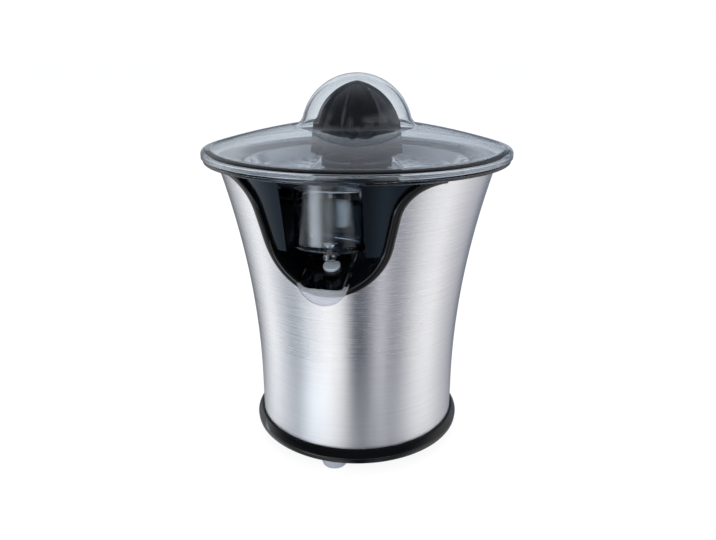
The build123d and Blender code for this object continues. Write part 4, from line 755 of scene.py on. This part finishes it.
bore_mesh = bmesh.new()
bore_profile = [(0, NOZZLE_BOTTOM - 1), (BORE_RADIUS, NOZZLE_BOTTOM - 1), (BORE_RADIUS, CHUTE_BOTTOM + 4),
                (0, CHUTE_BOTTOM + 4)]
turned(bore_mesh, bore_profile, (0, -NOZZLE_REACH), closed=False)
carve(bowl, bore_mesh, "DIFFERENCE")
clear_bowl, mix, clear = new_finish("clear_bowl")
film = mix.node("TexNoise", inputs={"Scale": 40.0, "Detail": 6.0})
set_sockets(clear, Transmission_Weight=1.0, IOR=1.49, Roughness=0.01 + film * 0.02,
            Base_Color=mottled(film, (0.92, 0.95, 0.97), (0.95, 0.97, 0.985)))


def tinted(material, colour, density):
    """Lets light fade with the depth of clear material that it crosses, so thick edges look darker."""
    tree = material.node_tree
    fade = Shade(tree).node("VolumeAbsorption", inputs={"Color": (*colour, 1.0), "Density": density})
    tree.links.new(fade.socket, tree.nodes["Material Output"].inputs["Volume"])


EDGE_TINT = (0.50, 0.62, 0.74)
tinted(clear_bowl, EDGE_TINT, 80.0)
dressed(bowl, clear_bowl, "bowl", "juice_bowl")


# Spout: a clear trough with rounded corners that ends in a half-round tongue.
# It tips on two stub pins in the bowl's ears.
SPOUT_SLOPE = math.radians(20.0)
SPOUT_HALF = 15.8
SPOUT_WALL = 1.8
SPOUT_CORNER = 7.0
SPOUT_FLOOR = -5.2
SPOUT_BACK = -3.4
SPOUT_TOP = 0.2
SPOUT_FRONT = -2.6
TONGUE_FRONT = 81.98
TONGUE_DROP = 11.6
PLUG_FORWARD = 12.5
PIN_RADIUS = 2.0
CUT_HALF = 20


def from_pivot(x, forward, up):
    """A point of the spout, given forward along its floor and square to it from its pivot."""
    return (x, -PIVOT_REACH - forward * math.cos(SPOUT_SLOPE) - up * math.sin(SPOUT_SLOPE),
            PIVOT_HEIGHT - forward * math.sin(SPOUT_SLOPE) + up * math.cos(SPOUT_SLOPE))


def trough(half_width, bottom, top, radius, back, front):
    """The inside or outside of the trough, cut off upright at the front."""
    outline = rounded([(-half_width, top), (-half_width, bottom), (half_width, bottom), (half_width, top)],
                      {1: radius, 2: radius})

    def front_end(x, up):
        return from_pivot(x, (front - PIVOT_REACH - up * math.sin(SPOUT_SLOPE)) / math.cos(SPOUT_SLOPE), up)

    return prism(outline, [lambda x, up: from_pivot(x, back, up), front_end])


outer_bottom = SPOUT_FLOOR - SPOUT_WALL
outer_trough = trough(SPOUT_HALF, outer_bottom, SPOUT_TOP, SPOUT_CORNER, SPOUT_BACK, TONGUE_FRONT)
spout = piece_from("spout_trough", outer_trough)
bend = (TONGUE_FRONT - PIVOT_REACH) / math.cos(SPOUT_SLOPE) + SPOUT_FLOOR * math.tan(SPOUT_SLOPE)
tongue_middle = from_pivot(0, bend, SPOUT_FLOOR)[2] - TONGUE_DROP + SPOUT_HALF
tongue_line = arc((0, tongue_middle), SPOUT_HALF, 180, 360, 48)
tongue_ends = [lambda x, z: (x, SPOUT_WALL - TONGUE_FRONT, z), lambda x, z: (x, -TONGUE_FRONT, z)]
carve(spout, prism(tongue_line, tongue_ends), "UNION")
carve(spout, trough(SPOUT_HALF - SPOUT_WALL, SPOUT_FLOOR, SPOUT_TOP + 4, SPOUT_CORNER - SPOUT_WALL,
                    SPOUT_BACK + SPOUT_WALL, TONGUE_FRONT + 4), "DIFFERENCE")
slope_line = [(PLUG_FORWARD, SPOUT_TOP), (bend + 4, SPOUT_FRONT), (bend + 4, SPOUT_TOP + 3),
              (PLUG_FORWARD, SPOUT_TOP + 3)]
carve(spout, prism(slope_line, [lambda forward, up: from_pivot(-CUT_HALF, forward, up),
                                lambda forward, up: from_pivot(CUT_HALF, forward, up)]), "DIFFERENCE")
for side in (-1, 1):
    for radius, inner, outer in ((EAR_RADIUS, SPOUT_HALF - SPOUT_WALL, SPOUT_HALF),
                                 (PIN_RADIUS, SPOUT_HALF - 0.5, EAR_INNER + EAR_THICK)):
        carve(spout, prism(circle((0, 0), radius),
                           [lambda forward, up: from_pivot(side * inner, forward, up),
                            lambda forward, up: from_pivot(side * outer, forward, up)]), "UNION")
hazy_clear, mix, hazy = new_finish("hazy_clear")
mist = mix.node("TexNoise", inputs={"Scale": 60.0, "Detail": 6.0})
set_sockets(hazy, Transmission_Weight=1.0, IOR=1.58, Roughness=0.02 + mist * 0.03,
            Base_Color=mottled(mist, (0.30, 0.29, 0.34), (0.36, 0.35, 0.40)))
dressed(spout, hazy_clear, "spout", "spout")


# Drip plug: a milky silicone button pushed through a hole in the trough's floor.
# When the spout is tipped up it closes the nozzle.
silicone, mix, milky = new_finish("milky_silicone")
cloudy = mix.node("TexNoise", inputs={"Scale": 500.0, "Detail": 4.0})
set_sockets(milky, Roughness=0.35 + cloudy * 0.15, Subsurface_Weight=0.35,
            Subsurface_Radius=(0.003, 0.003, 0.003),
            Base_Color=mottled(cloudy, (0.52, 0.59, 0.67), (0.60, 0.67, 0.74)))
plug_profile = [(0, 1.5), (3.6, 1.5), (4.2, 1.8), (5.2, 1.8), (5.2, 0.02), (2.1, 0.02), (2.1, -1.82),
                (3.2, -1.82), (2.1, -3.3), (0, -3.3)]
plug_mesh = bmesh.new()
turned(plug_mesh, rounded(plug_profile, {1: 0.4, 2: 0.3, 3: 0.5, 4: 0.3, 8: 0.5}), closed=False)
for vertex in plug_mesh.verts:
    x, y, up = vertex.co
    vertex.co = from_pivot(x, PLUG_FORWARD - y, SPOUT_FLOOR + up)
plug = piece_from("plug", plug_mesh)
dressed(plug, silicone, "spout", "drip_plug")


# Strainer: a polished steel dish pressed from sheet, with rings of slots round a raised collar.
# It rests on the bowl's ledge.
polished_steel, mix, polished = new_finish("polished_steel")
rub = mix.node("TexNoise", inputs={"Scale": 25.0, "Detail": 8.0, "Roughness": 0.7})
set_sockets(polished, Metallic=1.0, Roughness=0.10 + rub * 0.14,
            Base_Color=mottled(rub, (0.80, 0.80, 0.81), (0.90, 0.90, 0.90)))
kept(polished_steel, "strainer")


# Cones: two black mouldings, the large one slipped over the small one, with sharp ribs for the fruit.
# The small cone's hexagon socket sits on the drive shaft.
CONE_BOTTOM = 197.4
CONE_HEIGHT = 46.8
CONE_RADIUS = 29.2
CONE_SKIRT = 30.5
CONE_SHOULDER = 14.6
CONE_BULGE = 0.172
RIB_HEIGHT = 1.7
RIB_COUNT = 8
RIB_SHARPNESS = 4.6
SHORT_RIB_TOP = 0.55
CONE_STEPS = 320
CONE_WALL = 2.2
FLANK_STEPS = 40
SKIRT_STEPS = 12


def through_points(start, middle, stop, steps):
    """Points on the arc through three points."""
    (ax, ay), (bx, by), (cx, cy) = start, middle, stop
    twist = 2 * (ax * (by - cy) + bx * (cy - ay) + cx * (ay - by))
    ux = ((ax**2 + ay**2) * (by - cy) + (bx**2 + by**2) * (cy - ay) + (cx**2 + cy**2) * (ay - by)) / twist
    uy = ((ax**2 + ay**2) * (cx - bx) + (bx**2 + by**2) * (ax - cx) + (cx**2 + cy**2) * (bx - ax)) / twist
    radius = math.hypot(ax - ux, ay - uy)
    first = math.degrees(math.atan2(ay - uy, ax - ux))
    last = math.degrees(math.atan2(cy - uy, cx - ux))
    return arc((ux, uy), radius, first, last, steps)


def cone_line(inset):
    """The cone's outline from its skirt's lower edge to its tip, shrunk inwards by an inset."""
    tip = Vector((0.0, CONE_BOTTOM + CONE_HEIGHT - inset))
    foot = Vector((CONE_RADIUS - inset, CONE_BOTTOM + CONE_SHOULDER))
    slope = foot - tip
    middle = (tip + foot) / 2 + Vector((-slope.y, slope.x)) * CONE_BULGE
    flank = through_points(tuple(foot), tuple(middle), tuple(tip), FLANK_STEPS)
    skirt = [(CONE_SKIRT - inset + (foot.x - CONE_SKIRT + inset) * step / SKIRT_STEPS,
              CONE_BOTTOM + CONE_SHOULDER * step / SKIRT_STEPS) for step in range(SKIRT_STEPS)]
    return skirt + flank


def rib_share(angle, share_up):
    """How far a rib stands out at an angle and a share of the height: 1 on its crest, 0 between ribs."""
    turns = (angle / (2 * math.pi) + 0.25) * RIB_COUNT
    long_rib = max(0.0, 1 - abs(turns - round(turns)) * RIB_SHARPNESS)
    half_turns = turns + 0.5
    fade = min(1.0, max(0.0, (SHORT_RIB_TOP - share_up) * 12))
    short_rib = max(0.0, 1 - abs(half_turns - round(half_turns)) * RIB_SHARPNESS) * fade
    ridge = max(long_rib, short_rib)
    return ridge * (2 - ridge) * ridge + ridge * (1 - ridge) * 0.3


cone_mesh = bmesh.new()
crest, valley, hollow = cone_line(0.0), cone_line(RIB_HEIGHT), cone_line(RIB_HEIGHT + CONE_WALL)
cone_rings = []
for row in range(len(crest) - 1):
    share_up = (crest[row][1] - CONE_BOTTOM) / CONE_HEIGHT
    ring_verts = []
    for step in range(CONE_STEPS):
        angle = 2 * math.pi * step / CONE_STEPS
        share = rib_share(angle, share_up)
        radius = valley[row][0] + (crest[row][0] - valley[row][0]) * share
        height = valley[row][1] + (crest[row][1] - valley[row][1]) * share
        ring_verts.append(cone_mesh.verts.new((radius * math.cos(angle), radius * math.sin(angle), height)))
    cone_rings.append(ring_verts)
inner_rings = []
for radius, height in hollow[:-1]:
    inner_rings.append([cone_mesh.verts.new((radius * math.cos(2 * math.pi * step / CONE_STEPS),
                                             radius * math.sin(2 * math.pi * step / CONE_STEPS), height))
                        for step in range(CONE_STEPS)])
skin = list(reversed(cone_rings)) + inner_rings
for first, second in zip(skin, skin[1:]):
    for step in range(CONE_STEPS):
        after = (step + 1) % CONE_STEPS
        cone_mesh.faces.new((first[step], first[after], second[after], second[step]))
for rings, tip_height in ((skin[0], crest[-1][1]), (skin[-1], hollow[-1][1])):
    tip = cone_mesh.verts.new((0, 0, tip_height))
    for step in range(CONE_STEPS):
        cone_mesh.faces.new((rings[step], rings[(step + 1) % CONE_STEPS], tip))
cone = piece_from("cone", cone_mesh, 55.0)
cone_black, mix, cone_sockets = new_finish("cone_black")
rubbed = mix.node("TexNoise", inputs={"Scale": 220.0, "Detail": 5.0})
set_sockets(cone_sockets, Roughness=0.16 + rubbed * 0.12, Specular_IOR_Level=0.5,
            Base_Color=mottled(rubbed, (0.004, 0.0045, 0.005), (0.008, 0.009, 0.010)))
dressed(cone, cone_black, "outer_cone", "large_cone")
kept(cone_black, "small_cone")


# Lid: one clear moulding with a dome over the cone and a sloping brim.
# Its skirt drops over the rib on the bowl's rim.
LID_BOTTOM = 198.7
DOME_CENTRE = 212.8
DOME_RADIUS = 36.2
DOME_FOOT = 15.0
BRIM = (41.3, 216.6)
LIP = (97.2, 203.75)
BRIM_CROWN = 0.9
LID_WALL = 2.0
SKIRT_OVERHANG = 1.1
SKIRT_WALL = 1.9


def lid_line(inset):
    """The lid's outside, or its inside when inset, from the dome's top to the skirt's lower edge."""
    radius = DOME_RADIUS - inset
    line = [(0.0, DOME_CENTRE + radius)] + arc((0, DOME_CENTRE), radius, 90, DOME_FOOT, 40)[1:]
    foot = Vector(line[-1])
    brim = Vector((BRIM[0] - inset / 2, BRIM[1] - inset))
    lean = math.radians(DOME_FOOT)
    outwards = Vector((math.cos(lean), math.sin(lean)))
    reach = (brim - foot).length_squared / (2 * (brim - foot).dot(outwards))
    hollow = foot + outwards * reach
    first = math.degrees(math.atan2(foot.y - hollow.y, foot.x - hollow.x)) % 360
    last = math.degrees(math.atan2(brim.y - hollow.y, brim.x - hollow.x)) % 360
    line += arc(hollow, reach, first, last, 14)[1:]
    lip = Vector((LIP[0] - inset, LIP[1] - inset))
    line += through_points(tuple(brim), tuple((brim + lip) / 2 + Vector((0, BRIM_CROWN))), tuple(lip), 24)[1:]
    skirt = RIM_RADIUS + SKIRT_OVERHANG - (SKIRT_WALL if inset else 0.0)
    nose = [line[-1], (skirt, LIP[1] - 1.0 - inset * 0.75), (skirt, LID_BOTTOM)]
    return line[:-1] + rounded(nose, {1: 2.4 if not inset else 1.0})


outside, inside = lid_line(0.0), lid_line(LID_WALL)
lid_profile = outside + list(reversed(inside))
lid_mesh = bmesh.new()
turned(lid_mesh, lid_profile, steps=256, closed=False)
lid = piece_from("lid_shell", lid_mesh, 40.0)
clear_lid, mix, clear = new_finish("clear_lid")
film = mix.node("TexNoise", inputs={"Scale": 30.0, "Detail": 6.0})
set_sockets(clear, Transmission_Weight=1.0, IOR=1.49, Roughness=0.008 + film * 0.016,
            Base_Color=mottled(film, (0.93, 0.95, 0.97), (0.95, 0.97, 0.985)))
tinted(clear_lid, EDGE_TINT, 70.0)
dressed(lid, clear_lid, "lid", "lid")
